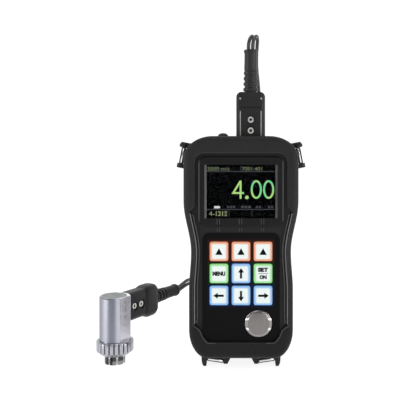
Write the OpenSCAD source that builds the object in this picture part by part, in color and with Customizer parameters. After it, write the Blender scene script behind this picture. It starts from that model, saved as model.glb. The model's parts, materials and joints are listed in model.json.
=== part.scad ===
// Hand-held ultrasonic thickness gauge in a rubber boot, with a two-cable lead and a twin-element probe.
// X points right, Y to the back and Z up. The gauge stands on its lower strap lugs, centred on x = 0, y = 0.

/* [Boot] */
// Height of the rubber boot without the strap lugs
boot_h = 167; // [160:1:176]
// Width of the boot across its shoulders
boot_w = 86.6; // [84:0.2:92]
// Depth of the boot from its front rim to its back
boot_d = 46; // [46:1:54]
// Width of the boot at its waist, as a share of the boot's width
waist_w_share = 0.8684; // [0.855:0.001:0.92]
// Width of the boot below its waist, as a share of the boot's width
hip_w_share = 0.903; // [0.89:0.001:0.95]
// Thickness of the rubber
boot_wall = 3.2; // [2.8:0.1:3.6]
// Rounding of the outer edges
boot_edge_r = 5; // [3:0.5:6]
// Width of the rounding at the top corners, as a share of the boot's width
top_round_w_share = 0.254; // [0.21:0.001:0.275]
// Height of the rounding at the top corners, as a share of the boot's height
top_round_h_share = 0.1018; // [0.085:0.001:0.12]
// Width of the rounding at the bottom corners, as a share of the boot's width
bottom_round_w_share = 0.1628; // [0.14:0.001:0.172]
// Height of the rounding at the bottom corners, as a share of the boot's height
bottom_round_h_share = 0.1287; // [0.11:0.001:0.14]
// Height of the shoulder above the bottom of the boot, as a share of the boot's height
shoulder_share = 0.7096; // [0.67:0.001:0.74]
// Height of the waist above the bottom of the boot, as a share of the boot's height
waist_share = 0.476; // [0.445:0.001:0.515]
// Height of the widest part of the hip above the bottom of the boot, as a share of the boot's height
hip_share = 0.3084; // [0.28:0.001:0.345]
// Width of the front rim beside the display, as a share of the boot's width
rim_side_share = 0.1005; // [0.082:0.001:0.108]
// Height of the front rim above the display, as a share of the boot's height
rim_top_share = 0.0772; // [0.066:0.001:0.08]
// Height of the front rim below the keypad, as a share of the boot's height
rim_bottom_share = 0.0772; // [0.066:0.001:0.083]
// Height where the side rim starts to widen, as a share of the boot's height
rim_step_share = 0.6557; // [0.63:0.001:0.67]
// Height of the slanted step of the side rim, as a share of the boot's height
rim_step_rise_share = 0.0317; // [0.024:0.001:0.042]
// Rounding of the upper corners of the front opening
rim_corner_r = 6.8; // [5:0.2:8]
// Gap between the battery door and the window in the back of the boot
back_window_gap = 0.8; // [0.6:0.1:2]
// Height of that window's lower edge above the rounding of the boot's bottom edge
back_window_rise = 7.7; // [6.5:0.1:9]
// Rounding of the window in the back of the boot
back_window_r = 5; // [3:0.5:7]

/* [Casing] */
// Wall of the two casing shells
casing_wall = 2.4; // [2:0.1:2.6]
// Gap between the seal and the nut plate of the sockets
socket_seal_gap = 0.55; // [0.4:0.05:0.8]
// Width of the step round the face of the casing
casing_step_w = 2.3; // [1.5:0.1:2.5]
// Height of the step round the face of the casing
casing_step_t = 1.2; // [0.8:0.1:1.6]
// Thickness of the seal between the shells
seal_t = 0.8; // [0.6:0.1:1.2]
// Radius of the casing screw shanks
casing_screw_r = 1.3; // [1:0.1:1.5]
// Radius of the casing screw heads
casing_head_r = 2.5; // [2.2:0.1:2.8]
// Gap between the display module and the bosses of the upper casing screws
screw_board_gap = 0.6; // [0.4:0.1:1]
// Distance of the lower casing screws from the middle, as a share of the boot's width
lower_screw_x_share = 0.3233; // [0.31:0.001:0.33]
// Distance of the upper casing screws below the top of the casing
upper_screw_drop = 22; // [20:0.5:26]
// Distance of the lower casing screws above the bottom of the casing
lower_screw_rise = 7; // [6.5:0.1:7.2]

/* [Display] */
// Width of the display frame, as a share of the boot's width
bezel_w_share = 0.746; // [0.716:0.001:0.765]
// Height of the display frame, as a share of the boot's height
bezel_h_share = 0.3126; // [0.3:0.001:0.317]
// Height of the display frame's lower edge above the bottom of the boot, as a share of the boot's height
bezel_rise_share = 0.5964; // [0.587:0.001:0.605]
// How far the display frame stands out of the casing
bezel_t = 2.4; // [2.1:0.1:2.8]
// Rounding of the display frame
bezel_r = 6; // [4:0.5:8]
// Width of the visible display, as a share of the boot's width
window_w_share = 0.6132; // [0.577:0.001:0.622]
// Height of the visible display, as a share of the boot's height
window_h_share = 0.2383; // [0.228:0.001:0.242]
// Height of the display's middle above the middle of its frame
window_rise = -0.2; // [-0.5:0.1:0.5]
// Thickness of the display window
window_t = 1; // [0.8:0.1:1.2]
// Width of the display module, as a share of the boot's width
lcd_w_share = 0.6928; // [0.67:0.001:0.698]
// Height of the display module, as a share of the boot's height
lcd_h_share = 0.2754; // [0.264:0.001:0.287]
// Depth of the display module
lcd_t = 5.5; // [4:0.1:5.8]

/* [Keypad] */
// Width of the keypad panel, as a share of the boot's width
panel_w_share = 0.6697; // [0.647:0.001:0.69]
// Height of the keypad panel, as a share of the boot's height
panel_h_share = 0.485; // [0.475:0.001:0.49]
// Height of the keypad panel's lower edge above the rim below it
panel_rise = 0.4; // [0.3:0.1:0.5]
// Thickness of the keypad panel
panel_t = 0.7; // [0.5:0.1:0.9]
// Rounding of the keypad panel's corners
panel_r = 5; // [3:0.5:6]
// Width of a key, as a share of the boot's width
key_w_share = 0.1594; // [0.145:0.001:0.161]
// Height of a key, as a share of the boot's height
key_h_share = 0.0862; // [0.078:0.001:0.087]
// Rounding of a key's corners
key_r = 2; // [1:0.1:3]
// Distance between the middles of the columns of keys, as a share of the boot's width
column_pitch_share = 0.1905; // [0.189:0.001:0.196]
// How far a key stands out of the panel
key_rise = 1.2; // [0.8:0.1:1.4]
// How far a key moves when it is pressed
key_travel = 0.5; // [0.4:0.05:0.5]
// Distance between the middles of the rows of keys, as a share of the boot's height
row_pitch_share = 0.0988; // [0.098:0.001:0.102]
// Height of the upper row of keys above the lower edge of the panel, as a share of the boot's height
upper_row_share = 0.403; // [0.398:0.001:0.407]
// Diameter of the steel calibration disc
disc_d = 20.8; // [18:0.1:21]
// Distance of the calibration disc from the middle, as a share of the boot's width
disc_x_share = 0.1513; // [0.139:0.001:0.162]
// Height of the calibration disc above the lower edge of the panel, as a share of the boot's height
disc_rise_share = 0.0778; // [0.0755:0.0005:0.08]
// How far the calibration disc stands out of the panel
disc_proud = 0.8; // [0.5:0.1:1.2]

/* [Battery] */
// Diameter of a battery cell
cell_d = 14.2; // [13.8:0.1:14.4]
// Length of a battery cell
cell_len = 50.2; // [49.5:0.1:50.5]
// Overlap of the battery door beside the cells
door_lap = 1.6; // [1.2:0.1:2.4]
// Thickness of the battery door
door_t = 2; // [1.8:0.1:2.4]

/* [Strap lugs] */
// Diameter of the ring wire
ring_wire_d = 2.8; // [2.4:0.1:2.8]
// Distance between the two ears of a lug
ear_gap = 12.5; // [12.3:0.1:13]
// Distance between the middles of a ring's two legs
ring_leg_pitch = 8.9; // [8.4:0.1:9]
// Length of a ring's straight legs
ring_leg_len = 4; // [3:0.2:5]
// Lean of the upper lugs from upright
upper_lug_lean = 11; // [9:0.5:13]
// Lean of the lower lugs from level
lower_lug_lean = 8; // [6:0.5:9]
// Height of the boot's bottom above the floor
foot_h = 8.5; // [8.2:0.1:9.5]
// Depth of the lower lugs
lower_lug_d = 24; // [20:0.5:28]
// Depth of the upper lugs
upper_lug_d = 10; // [8:0.5:12]

/* [Lead] */
// Width of a lead plug
plug_w = 22.4; // [22:0.1:24]
// Thickness of a lead plug
plug_t = 12; // [11:0.1:13]
// Length of a lead plug
plug_len = 36.3; // [35:0.1:38]
// Distance between the two coaxial contacts
contact_pitch = 11; // [10.6:0.1:12]
// Diameter of a coaxial contact
contact_d = 6; // [5.4:0.1:6.2]
// Length of a contact inside its socket
contact_reach = 8; // [7:0.1:8.5]
// Distance of the lead plug from the middle of the gauge
plug_x = 7.5; // [7:0.1:8]
// Length of the ribbed part of the strain relief
ribs_len = 17; // [15:0.5:18]
// Diameter of the ribs
ribs_d = 11.3; // [11:0.1:12]
// Number of ribs
rib_count = 4; // [3:1:5]
// Length of the smooth sleeve of the strain relief
sleeve_len = 16.5; // [15:0.5:18]
// Diameter of the smooth sleeve
sleeve_d = 10.1; // [9.5:0.1:10.6]
// Diameter of one cable
cable_d = 2.8; // [2.4:0.1:2.8]
// Distance between the middles of the two cables
cable_pitch = 3.3; // [3.25:0.05:3.3]

/* [Probe] */
// Diameter of the probe body
probe_d = 24; // [23.6:0.1:25]
// Height of the probe's top above its contact face
probe_h = 51.7; // [50.5:0.1:54]
// Distance of the probe to the left of the gauge's middle
probe_x = 97.8; // [96:0.1:100]
// Distance of the probe in front of the gauge's middle
probe_y = 2; // [1:0.1:3]
// Height of the lead plug's middle above the contact face
probe_plug_h = 40.3; // [40:0.1:40.6]
// Direction of the lead plug, turned from +X towards +Y
plug_turn = 60; // [60]
// Distance of the flat behind the plug from the probe's middle
plug_flat = 10.5; // [10.2:0.1:10.8]
// Distance of the side flat from the probe's middle
side_flat = 10.2; // [10:0.1:10.6]
// Diameter of the knurled ring
knurl_d = 28.5; // [28:0.1:30]
// Height of the knurled ring's lower edge above the contact face
knurl_z = 6.9; // [6.5:0.1:7.5]
// Height of the knurled ring
knurl_h = 13.6; // [13:0.1:14.4]
// Number of flutes on the knurled ring
flute_count = 24; // [20:1:28]
// Diameter of the nose
nose_d = 15.8; // [15:0.1:16.4]
// Wall of the nose
nose_wall = 1.6; // [1.4:0.1:1.8]

/* [Clearances] */
// Clearance between the boot and the casing
casing_fit = 0.2; // [0.1:0.05:0.25]
// Clearance round pieces that are set into another
seat_fit = 0.15; // [0.1:0.05:0.2]
// Radial clearance of turning and sliding pieces
running_fit = 0.08; // [0.05:0.01:0.1]
// Gap between a moving piece and the faces beside it
side_gap = 0.3; // [0.25:0.05:0.35]

/* [Hidden] */
$fn = 48;
overrun = 1;
// Sizes that follow the boot's width and height
waist_w = boot_w * waist_w_share;
hip_w = boot_w * hip_w_share;
top_round_w = boot_w * top_round_w_share;
top_round_h = boot_h * top_round_h_share;
bottom_round_w = boot_w * bottom_round_w_share;
bottom_round_h = boot_h * bottom_round_h_share;
shoulder_h = boot_h * shoulder_share;
waist_h = boot_h * waist_share;
hip_h = boot_h * hip_share;
rim_side = boot_w * rim_side_share;
rim_top = boot_h * rim_top_share;
rim_bottom = boot_h * rim_bottom_share;
rim_step_h = boot_h * rim_step_share;
rim_step_rise = boot_h * rim_step_rise_share;
bezel_w = boot_w * bezel_w_share;
bezel_h = boot_h * bezel_h_share;
bezel_rise = boot_h * bezel_rise_share;
window_w = boot_w * window_w_share;
window_h = boot_h * window_h_share;
lcd_w = boot_w * lcd_w_share;
lcd_h = boot_h * lcd_h_share;
panel_w = boot_w * panel_w_share;
panel_h = boot_h * panel_h_share;
key_w = boot_w * key_w_share;
key_h = boot_h * key_h_share;
column_pitch = boot_w * column_pitch_share;
row_pitch = boot_h * row_pitch_share;
upper_row_rise = boot_h * upper_row_share;
disc_x = boot_w * disc_x_share;
disc_rise = boot_h * disc_rise_share;
lower_screw_x = boot_w * lower_screw_x_share;
small_corner_r = 1;
arc_steps = 7;
low_steps = 8;
high_steps = 3;
edge_steps = 4;
corner_steps = 5;

// Places along the depth of the gauge
front_y = -boot_d / 2;
back_y = boot_d / 2;
face_y = front_y + boot_wall + casing_fit;
rear_y = back_y - boot_wall - casing_fit;
inner_face_y = face_y + casing_wall;
inner_rear_y = rear_y - casing_wall;
contact_fit = 0.05;
socket_wall = 1;
nut_plate_margin = 1;
nut_plate_d = contact_d + 2 * (contact_fit + socket_wall + nut_plate_margin);
parting_y = -nut_plate_d / 2 - socket_seal_gap - seal_t / 2;

// The casing's outline lies this far inside the boot's
casing_inset = boot_wall + casing_fit;
hollow_inset = casing_inset + casing_wall;
casing_top = foot_h + boot_h - casing_inset;
casing_bottom = foot_h + casing_inset;
front_boss_wall = 0.5;
upper_screw_x = lcd_w / 2 + screw_board_gap + casing_head_r + front_boss_wall;
rear_boss_wall = 1;
casing_head_t = 1.6;

// The display
bezel_z = foot_h + bezel_rise + bezel_h / 2;
window_z = bezel_z + window_rise;
pane_margin = 2;
glass_margin = 0.8;
glass_gap = 0.2;
bezel_front_y = face_y - bezel_t;
pane_back_y = face_y - 0.5 * seat_fit;

// The keypad
panel_bottom = foot_h + rim_bottom + panel_rise;
panel_front_y = face_y - panel_t;
upper_row_z = panel_bottom + upper_row_rise;
key_flange = 0.5;
key_flange_t = 1.1;
key_flange_gap = 0.1;
dome_r = 4;
dome_gap = 0.1;
dome_h = casing_wall - key_flange_gap - key_flange_t - key_travel - dome_gap;
mat_t = 0.8;
mat_margin = 2.4;
disc_z = panel_bottom + disc_rise;
disc_seat = 1.6;
disc_step_w = 1;
// A shallow curve leads from the rim below the keypad to the sides of the boot
cup_w_shares = [0.9, 0.95, 1, 1.145];
cup_h_shares = [0, 0.16, 0.5, 0.83];
cup_rise_share = 0.0796;
cup_rise = boot_h * cup_rise_share;

// The boards
board_t = 1.6;
board_gap = 0.2;
board_chip_t = 1.5;
board_chip_w = 16;
board_lower_margin = 14;
board_screw_gap = 2;
chip_place_share = 0.8;
chip_r = 0.5;

// The battery
tray_wall = 1.2;
cell_gap = 1;
cell_count = 3;
spring_len = 3.6;
contact_plate_t = 0.6;
end_gap = 0.2;
tray_w = cell_count * (cell_d + cell_gap) + cell_gap + 2 * tray_wall;
tray_inner_h = cell_len + 2 * spring_len + 2 * contact_plate_t + 2 * end_gap;
tray_h = tray_inner_h + 2 * tray_wall;
tray_front_y = inner_rear_y - cell_d - 2 * end_gap - tray_wall;
door_screw_r = 1.2;
door_head_r = 2.2;
door_head_t = 1.2;
door_screw_len = 6;
door_boss_r = 2.5;
door_boss_len = 4;
door_w = tray_w - 2 * tray_wall + 2 * door_lap;
door_screw_x = door_w / 2 - 2 * door_boss_r;
door_screw_z = tray_h / 2 + door_boss_r + seat_fit;
door_h = 2 * (door_screw_z + door_boss_r + seat_fit);
back_window_w = door_w + 2 * back_window_gap;
back_window_h = door_h + 2 * back_window_gap;
tray_z = foot_h + boot_edge_r + back_window_rise + back_window_h / 2;
cell_nub_share = 0.385;
contact_plate_share = 0.7;
spring_tip_share = 0.125;
spring_root_share = 0.25;

// The sockets and the port on top
socket_rim = 0.7;
socket_rim_t = 0.8;
socket_len = 10;
nut_plate_t = 1.6;
nut_plate_r = 2;
port_x = -14;
port_r = 3.5;
port_bore_r = 2.4;
port_len = 8;
cap_r = 4;
cap_top = 2.3;
cap_stem_r = port_bore_r - running_fit;
plug_bottom_z = casing_top + socket_rim_t + side_gap;

// The lugs and rings
wire_r = ring_wire_d / 2;
lug_swing_gap = 1.5;
lug_standoff = wire_r + lug_swing_gap;
lug_seat_fit = 0.1;
lug_base_t = 1.8;
ear_r = 3;
big_ear_t = 4.2;
small_ear_t = 3.4;
trunnion_len = 2.6;
trunnion_hole_len = 3;
upper_bar_reach = 2.2;
upper_bar_drop = 15.2;
upper_bar_x = boot_w / 2 + upper_bar_reach;
upper_bar_z = foot_h + boot_h - upper_bar_drop;
lower_bar_share = 0.2263;
lower_bar_x = boot_w * lower_bar_share;
lower_bar_depth = 15;
lower_bar_y = front_y + lower_bar_depth;
lower_bar_z = 4;
upper_ring_fold = 3;
lower_ring_drop = 14;
lower_lug_sink = 2.2;
lower_lug_top = foot_h + lower_lug_sink;
lower_lug_setback = 12;
lower_lug_front = front_y + lower_lug_setback;
lower_ear_outer = 4.4;
lower_ear_inner = 5.6;
// The lower lug's inner ear slants in from its base, and its foot is rounded outwards
lower_base_t = 2;
inner_ear_slant = 2.6;
inner_ear_tip = 2;
inner_ear_drop = 2.4;
inner_ear_lip = 1.2;
foot_round = [1.6, 0.7, 0.2];
foot_round_h = 1.6;

// The lead plugs
plug_corner_r = 3.2;
plug_end_r = 4;
plug_screw_from_end = [21.4, 29.8];
plug_screw_r = 1.1;
plug_screw_head_r = 3;
plug_screw_head_t = 1.4;
plug_screw_recess_r = 4;
plug_screw_recess = 0.8;
plug_screw_depth = 9.5;
plug_opening_gap = 0.6;
contact_inner_len = 20;
contact_len = contact_reach + contact_inner_len;
contact_wall = 0.8;
contact_pin_r = 0.6;
contact_bore_share = 0.7;
screw_slot_w = 0.8;
joint_box_w = 15;
joint_box_t = 6.4;
joint_box_h = 6;
relief_root_r = 3.5;
relief_root_len = 6;
rib_share = 0.62;
rib_core_d = 9.2;
lip_len = 3;
lip_d = 10.5;
lip_step = 0.4;

// The probe
probe_seat_rise = 5.4;
probe_floor_z = knurl_z + probe_seat_rise;
nose_top_z = 24;
nose_slots = 8;
nose_slot_w = 0.8;
delay_fit = 0.1;
barrier_t = 0.6;
delay_top_z = 20;
damping_top_z = 30;
probe_cavity_r = 8;
probe_cavity_z = 34;
top_disc_r = 9.3;
top_disc_t = 1;
probe_rim = 0.8;
probe_socket_depth = 12.5;
knurl_upper_chamfer = 0.7;
knurl_lower_chamfer_h = 5.4;
knurl_foot_d = 21.5;
flute_r = 1.2;
flute_out = 0.4;
flute_sides = 24;
plug_flat_drop = 12;
side_flat_z = 22;

// The two cables lie side by side along one middle line: x, y, z, heading in plan, turn of the pair.
// First from the gauge's strain relief, over and down behind the gauge to the coil.
drop_route = [
  [7.5, 0, 243, 90, 0], [7.5, 0, 246, 90, 0], [8, 0.8, 249.4, 90, 0], [9.2, 3.6, 252.8, 90, 0],
  [10.8, 8.5, 254.4, 90, 0], [11.5, 13.5, 252.8, 90, 0], [11.4, 17.2, 248.6, 90, 0],
  [11, 19.2, 242, 90, 0], [11, 21, 232, 90, 0], [12.5, 24, 216, 90, 0], [14, 28, 196, 90, 0],
  [16, 31.5, 172, 90, 0], [20, 34, 140, 90, 0], [25, 35, 100, 90, 0], [30, 35.5, 60, 90, 0],
  [33.5, 36.2, 30, 90, 0], [34.8, 38.5, 16, 90, 0], [35.4, 43, 7.2, 90, 0], [35.8, 50, 3.2, 90, 0],
  [36, 60, 2, 90, 0], [36, 76, 2, 90, 0]
];
// Then from the coil up to the strain relief of the probe plug
rise_route = [
  [-17, 126.2, 5.8, 203, 0], [-24.5, 121.8, 9.5, 215, 0], [-30.5, 115.5, 18, 229, 0],
  [-35.5, 107.5, 29, 238, 0], [-40, 99.5, 38, 240, 12], [-44.2, 91.8, 42.6, 240, 45],
  [-48.5, 84.3, 43.2, 240, 75], [-52.4, 77.4, 41.6, 240, 90]
];
coil_x = 0;
coil_y = 94;
coil_r = 36;
coil_low_z = 2;
coil_layer = 3.3;
coil_turns_end = 1545;
coil_step = 15;
cable_sides = 8;
coil_sides = 6;
tie_turn = 300;
tie_w = 5;
tie_t = 0.5;
tie_gap = 0.1;
tie_side_gap = 0.5;

// Half the boot's width at a height above its bottom
function ease(t) = (1 - cos(180 * t)) / 2;
function between(a, b, t) = a + (b - a) * ease(t);
function side_half(h) =
  h >= shoulder_h ? boot_w / 2 :
  h >= waist_h ? between(waist_w / 2, boot_w / 2, (h - waist_h) / (shoulder_h - waist_h)) :
  h >= hip_h ? between(hip_w / 2, waist_w / 2, (h - hip_h) / (waist_h - hip_h)) :
  hip_w / 2;

function corner_arc(x, h, rw, rh, from) =
  [for (k = [0:arc_steps]) let (a = from + 90 * k / arc_steps) [x + rw * cos(a), h + rh * sin(a)]];

// Heights of the outline's points up to the step of the side rim, and above it
side_heights = concat(
  [for (k = [1:low_steps]) bottom_round_h + (rim_step_h - bottom_round_h) * k / low_steps],
  [for (k = [1:high_steps]) rim_step_h + (boot_h - top_round_h - rim_step_h) * k / (high_steps + 1)]
);

// The boot's right side from the bottom up, drawn in by an inset
function right_side(inset) = concat(
  corner_arc(hip_w / 2 - bottom_round_w, bottom_round_h, bottom_round_w - inset, bottom_round_h - inset, -90),
  [for (h = side_heights) [side_half(h) - inset, h]],
  corner_arc(boot_w / 2 - top_round_w, boot_h - top_round_h, top_round_w - inset, top_round_h - inset, 0)
);
function mirrored(side) = concat(side, [for (k = [len(side) - 1:-1:0]) [-side[k][0], side[k][1]]]);
function lifted(points, z) = [for (p = points) [p[0], p[1] + z]];
function outline(inset) = lifted(mirrored(right_side(inset)), foot_h);

// A rounded rectangle about a middle point
function round_rect(x, z, w, h, r) = [
  for (c = [[1, 1, 0], [-1, 1, 90], [-1, -1, 180], [1, -1, 270]])
    for (k = [0:corner_steps])
      let (a = c[2] + 90 * k / corner_steps)
      [x + c[0] * (w / 2 - r) + r * cos(a), z + c[1] * (h / 2 - r) + r * sin(a)]
];

// The opening in the front of the boot has a point for each point of the outline
opening_w = boot_w - 2 * rim_side;
opening_top = boot_h - rim_top;
opening_inset = boot_wall + casing_fit;
cup_top = rim_bottom + cup_rise;
function cup_w(t) = lookup(t, [for (k = [0:3]) [k / 3, panel_w / 2 * cup_w_shares[k]]]);
function cup_h(t) = rim_bottom + cup_rise * lookup(t, [for (k = [0:3]) [k / 3, cup_h_shares[k]]]);
function opening_side(inset) = concat(
  [for (k = [0:arc_steps - 1]) [cup_w(k / (arc_steps - 1)) - inset, cup_h(k / (arc_steps - 1)) + inset]],
  [[side_half(cup_top) - opening_inset - inset, cup_top]],
  [for (k = [0:low_steps - 1]) [side_half(side_heights[k]) - opening_inset - inset, side_heights[k]]],
  [for (k = [0:high_steps - 1])
    let (low = rim_step_h + rim_step_rise, high = opening_top - rim_corner_r)
    [opening_w / 2 - inset, low + (high - low) * k / high_steps]],
  [for (k = [0:arc_steps])
    let (a = 90 * k / arc_steps)
    [opening_w / 2 - rim_corner_r + (rim_corner_r - inset) * cos(a),
      opening_top - rim_corner_r + (rim_corner_r - inset) * sin(a)]]
);
function opening(inset) = lifted(mirrored(opening_side(inset)), foot_h);

// So has the window in the back of the boot
window_mid = tray_z - foot_h;
function back_window_side() = concat(
  corner_arc(back_window_w / 2 - back_window_r, window_mid - back_window_h / 2 + back_window_r,
    back_window_r, back_window_r, -90),
  [for (k = [1:len(side_heights)])
    let (run = back_window_h - 2 * back_window_r)
    [back_window_w / 2, window_mid + run * (k / (len(side_heights) + 1) - 0.5)]],
  corner_arc(back_window_w / 2 - back_window_r, window_mid + back_window_h / 2 - back_window_r,
    back_window_r, back_window_r, 0)
);

// A flat shape in X and Z, thick along Y
module plate(points, y0, y1) {
  translate([0, y1, 0]) rotate([90, 0, 0]) linear_extrude(height = y1 - y0) polygon(points);
}

// A round piece along Y
module round_y(x, z, r, y0, y1) {
  translate([x, y0, z]) rotate([-90, 0, 0]) cylinder(r = r, h = y1 - y0);
}

function at_depth(points, y) = [for (p = points) [p[0], y, p[1]]];
function edge_inset(a) = boot_edge_r * (1 - cos(a));
function edge_depth(a) = boot_edge_r * (1 - sin(a));

// Beside the keypad the opening cuts into the rounded edge, so the rounding ends early there
edge_limit = acos(1 - boot_wall / boot_edge_r);
half_points = 2 * (arc_steps + 1) + len(side_heights);
function is_beside(k) = k >= arc_steps && k <= arc_steps + low_steps;
function edge_end(i) = is_beside(min(i, 2 * half_points - 1 - i)) ? edge_limit : 90;
function front_edge(share) = [
  for (i = [0:2 * half_points - 1])
    let (a = edge_end(i) * share, p = outline(edge_inset(a))[i])
    [p[0], front_y + edge_depth(a), p[1]]
];
function front_lip() = [
  for (i = [0:2 * half_points - 1])
    let (p = opening(0)[i])
    [p[0], front_y + edge_depth(edge_end(i)), p[1]]
];

// The rubber as one skin: round the back window, over the outside to the front opening and back inside
function boot_rings() = let (window = lifted(mirrored(back_window_side()), foot_h)) concat(
  [at_depth(window, back_y)],
  [for (k = [edge_steps:-1:0])
    let (a = 90 * k / edge_steps)
    at_depth(outline(edge_inset(a)), back_y - edge_depth(a))],
  [for (k = [0:edge_steps]) front_edge(k / edge_steps)],
  [front_lip(), at_depth(opening(0), front_y + boot_wall), at_depth(outline(boot_wall), front_y + boot_wall),
    at_depth(outline(boot_wall), back_y - boot_wall), at_depth(window, back_y - boot_wall)]
);

module boot_skin() {
  rings = boot_rings();
  n = 2 * half_points;
  m = len(rings);
  polyhedron(
    points = [for (ring = rings) each ring],
    faces = [
      for (i = [0:m - 1]) for (k = [0:n - 1])
        let (
          a = i * n + k,
          b = i * n + (k + 1) % n,
          c = ((i + 1) % m) * n + k,
          d = ((i + 1) % m) * n + (k + 1) % n
        )
        each [[a, d, b], [a, c, d]]
    ]
  );
}

module protective_boot() {
  color("#262729")
  difference() {
    boot_skin();
    translate([plug_x, 0, casing_top - overrun]) linear_extrude(height = boot_wall + 2 * overrun)
      polygon(round_rect(0, 0, plug_w + 2 * plug_opening_gap, plug_t + 2 * plug_opening_gap, plug_corner_r));
    translate([port_x, 0, casing_top - overrun]) cylinder(r = cap_r + side_gap, h = boot_wall + 2 * overrun);
    for (side = [0, 1]) mirror([side, 0, 0]) {
      upper_lug_frame() upper_lug_base(lug_seat_fit);
      lower_lug_base(lug_seat_fit);
    }
  }
}

module upper_screw_places() {
  for (side = [-1, 1]) translate([side * upper_screw_x, 0, casing_top - upper_screw_drop]) children();
}

module lower_screw_places() {
  for (side = [-1, 1]) translate([side * lower_screw_x, 0, casing_bottom + lower_screw_rise]) children();
}

module casing_screw_places() {
  upper_screw_places() children();
  lower_screw_places() children();
}

module front_casing() {
  color("#1f2022")
  difference() {
    union() {
      difference() {
        union() {
          plate(outline(casing_inset + casing_step_w), face_y, inner_face_y);
          plate(outline(casing_inset), face_y + casing_step_t, parting_y - seal_t / 2);
        }
        plate(outline(hollow_inset), inner_face_y, parting_y + overrun);
      }
      casing_screw_places()
        round_y(0, 0, casing_head_r + front_boss_wall, inner_face_y - overrun, parting_y - seal_t / 2);
    }
    plate(round_rect(0, window_z, window_w + 2 * glass_margin + 2 * glass_gap,
      window_h + 2 * glass_margin + 2 * glass_gap, small_corner_r), face_y - overrun, inner_face_y + overrun);
    for (row = [0:2]) for (column = [-1:1])
      plate(round_rect(column * column_pitch, upper_row_z - row * row_pitch,
        key_w + 2 * key_flange + 2 * seat_fit, key_h + 2 * key_flange + 2 * seat_fit, key_r),
        face_y - overrun, inner_face_y + overrun);
    round_y(disc_x, disc_z, disc_d / 2 + seat_fit, face_y - overrun, face_y + disc_seat);
    casing_screw_places()
      round_y(0, 0, casing_screw_r + contact_fit, inner_face_y + overrun, parting_y + overrun);
  }
}

module rear_casing() {
  color("#1c1d1f")
  difference() {
    union() {
      difference() {
        plate(outline(casing_inset), parting_y + seal_t / 2, rear_y);
        plate(outline(hollow_inset), parting_y - overrun, inner_rear_y);
      }
      casing_screw_places() round_y(0, 0, casing_head_r + rear_boss_wall, parting_y + seal_t / 2, rear_y);
      for (x = [-1, 1]) for (z = [-1, 1])
        round_y(x * door_screw_x, tray_z + z * door_screw_z, door_boss_r,
          inner_rear_y - door_boss_len, rear_y);
    }
    plate(round_rect(0, tray_z, tray_w - 2 * tray_wall, tray_inner_h, key_r), inner_rear_y - overrun,
      rear_y + overrun);
    casing_screw_places() {
      round_y(0, 0, casing_screw_r + seat_fit, parting_y - overrun, rear_y + overrun);
      round_y(0, 0, casing_head_r + seat_fit, rear_y - casing_head_t, rear_y + overrun);
    }
    for (x = [-1, 1]) for (z = [-1, 1])
      round_y(x * door_screw_x, tray_z + z * door_screw_z, door_screw_r + contact_fit,
        inner_rear_y - door_boss_len - overrun, rear_y + overrun);
    for (side = [-1, 1])
      translate([plug_x + side * contact_pitch / 2, 0, casing_top - 2 * casing_wall])
        cylinder(r = contact_d / 2 + contact_fit + socket_wall + contact_fit, h = 3 * casing_wall);
    translate([port_x, 0, casing_top - 2 * casing_wall])
      cylinder(r = port_r + contact_fit, h = 3 * casing_wall);
  }
}

module casing_seal() {
  color("#5a5c5e")
  difference() {
    plate(outline(casing_inset + seat_fit), parting_y - seal_t / 2, parting_y + seal_t / 2);
    plate(outline(hollow_inset - seat_fit), parting_y - seal_t, parting_y + seal_t);
  }
}

module display_bezel() {
  color("#17181a")
  difference() {
    plate(round_rect(0, bezel_z, bezel_w, bezel_h, bezel_r), bezel_front_y, face_y);
    plate(round_rect(0, window_z, window_w, window_h, small_corner_r),
      bezel_front_y - overrun, face_y + overrun);
    plate(round_rect(0, window_z, window_w + 2 * pane_margin + 2 * seat_fit,
      window_h + 2 * pane_margin + 2 * seat_fit, small_corner_r),
      pane_back_y - window_t - seat_fit, face_y + overrun);
  }
}

module display_window() {
  color("#0c0f10", 0.5)
  plate(round_rect(0, window_z, window_w + 2 * pane_margin, window_h + 2 * pane_margin, small_corner_r),
    pane_back_y - window_t, pane_back_y);
}

module lcd_module() {
  color("#0a1a14")
  union() {
    plate(round_rect(0, window_z, lcd_w, lcd_h, small_corner_r), inner_face_y, inner_face_y + lcd_t);
    plate(round_rect(0, window_z, window_w + 2 * glass_margin, window_h + 2 * glass_margin, small_corner_r),
      pane_back_y + glass_gap, inner_face_y + contact_fit);
  }
}

module main_board() {
  board_y = inner_face_y + lcd_t + board_gap;
  board_low = casing_bottom + lower_screw_rise + casing_head_r + board_screw_gap;
  board_high = window_z + lcd_h / 2;
  color("#1f5a36")
  union() {
    plate(round_rect(0, (board_low + board_high) / 2, lcd_w, board_high - board_low, small_corner_r),
      board_y, board_y + board_t);
    for (x = [-1, 1]) for (z = [0, 1])
      plate(round_rect(x * board_chip_w * chip_place_share,
        board_low + board_lower_margin + z * 3 * board_chip_w, board_chip_w, board_chip_w, chip_r),
        board_y + board_t - contact_fit, board_y + board_t + board_chip_t);
  }
}

module panel_shape() {
  intersection() {
    polygon(round_rect(0, panel_bottom + panel_h / 2, panel_w, panel_h, panel_r));
    polygon(opening(panel_rise));
  }
}

module keypad_panel() {
  color("#0b0d14")
  difference() {
    translate([0, face_y, 0]) rotate([90, 0, 0]) linear_extrude(height = panel_t) panel_shape();
    for (row = [0:2]) for (column = [-1:1])
      plate(round_rect(column * column_pitch, upper_row_z - row * row_pitch, key_w + 2 * seat_fit,
        key_h + 2 * seat_fit, key_r + seat_fit), face_y - 2 * overrun, face_y + overrun);
    round_y(disc_x, disc_z, disc_d / 2 + seat_fit, face_y - 2 * overrun, face_y + overrun);
  }
}

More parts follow.
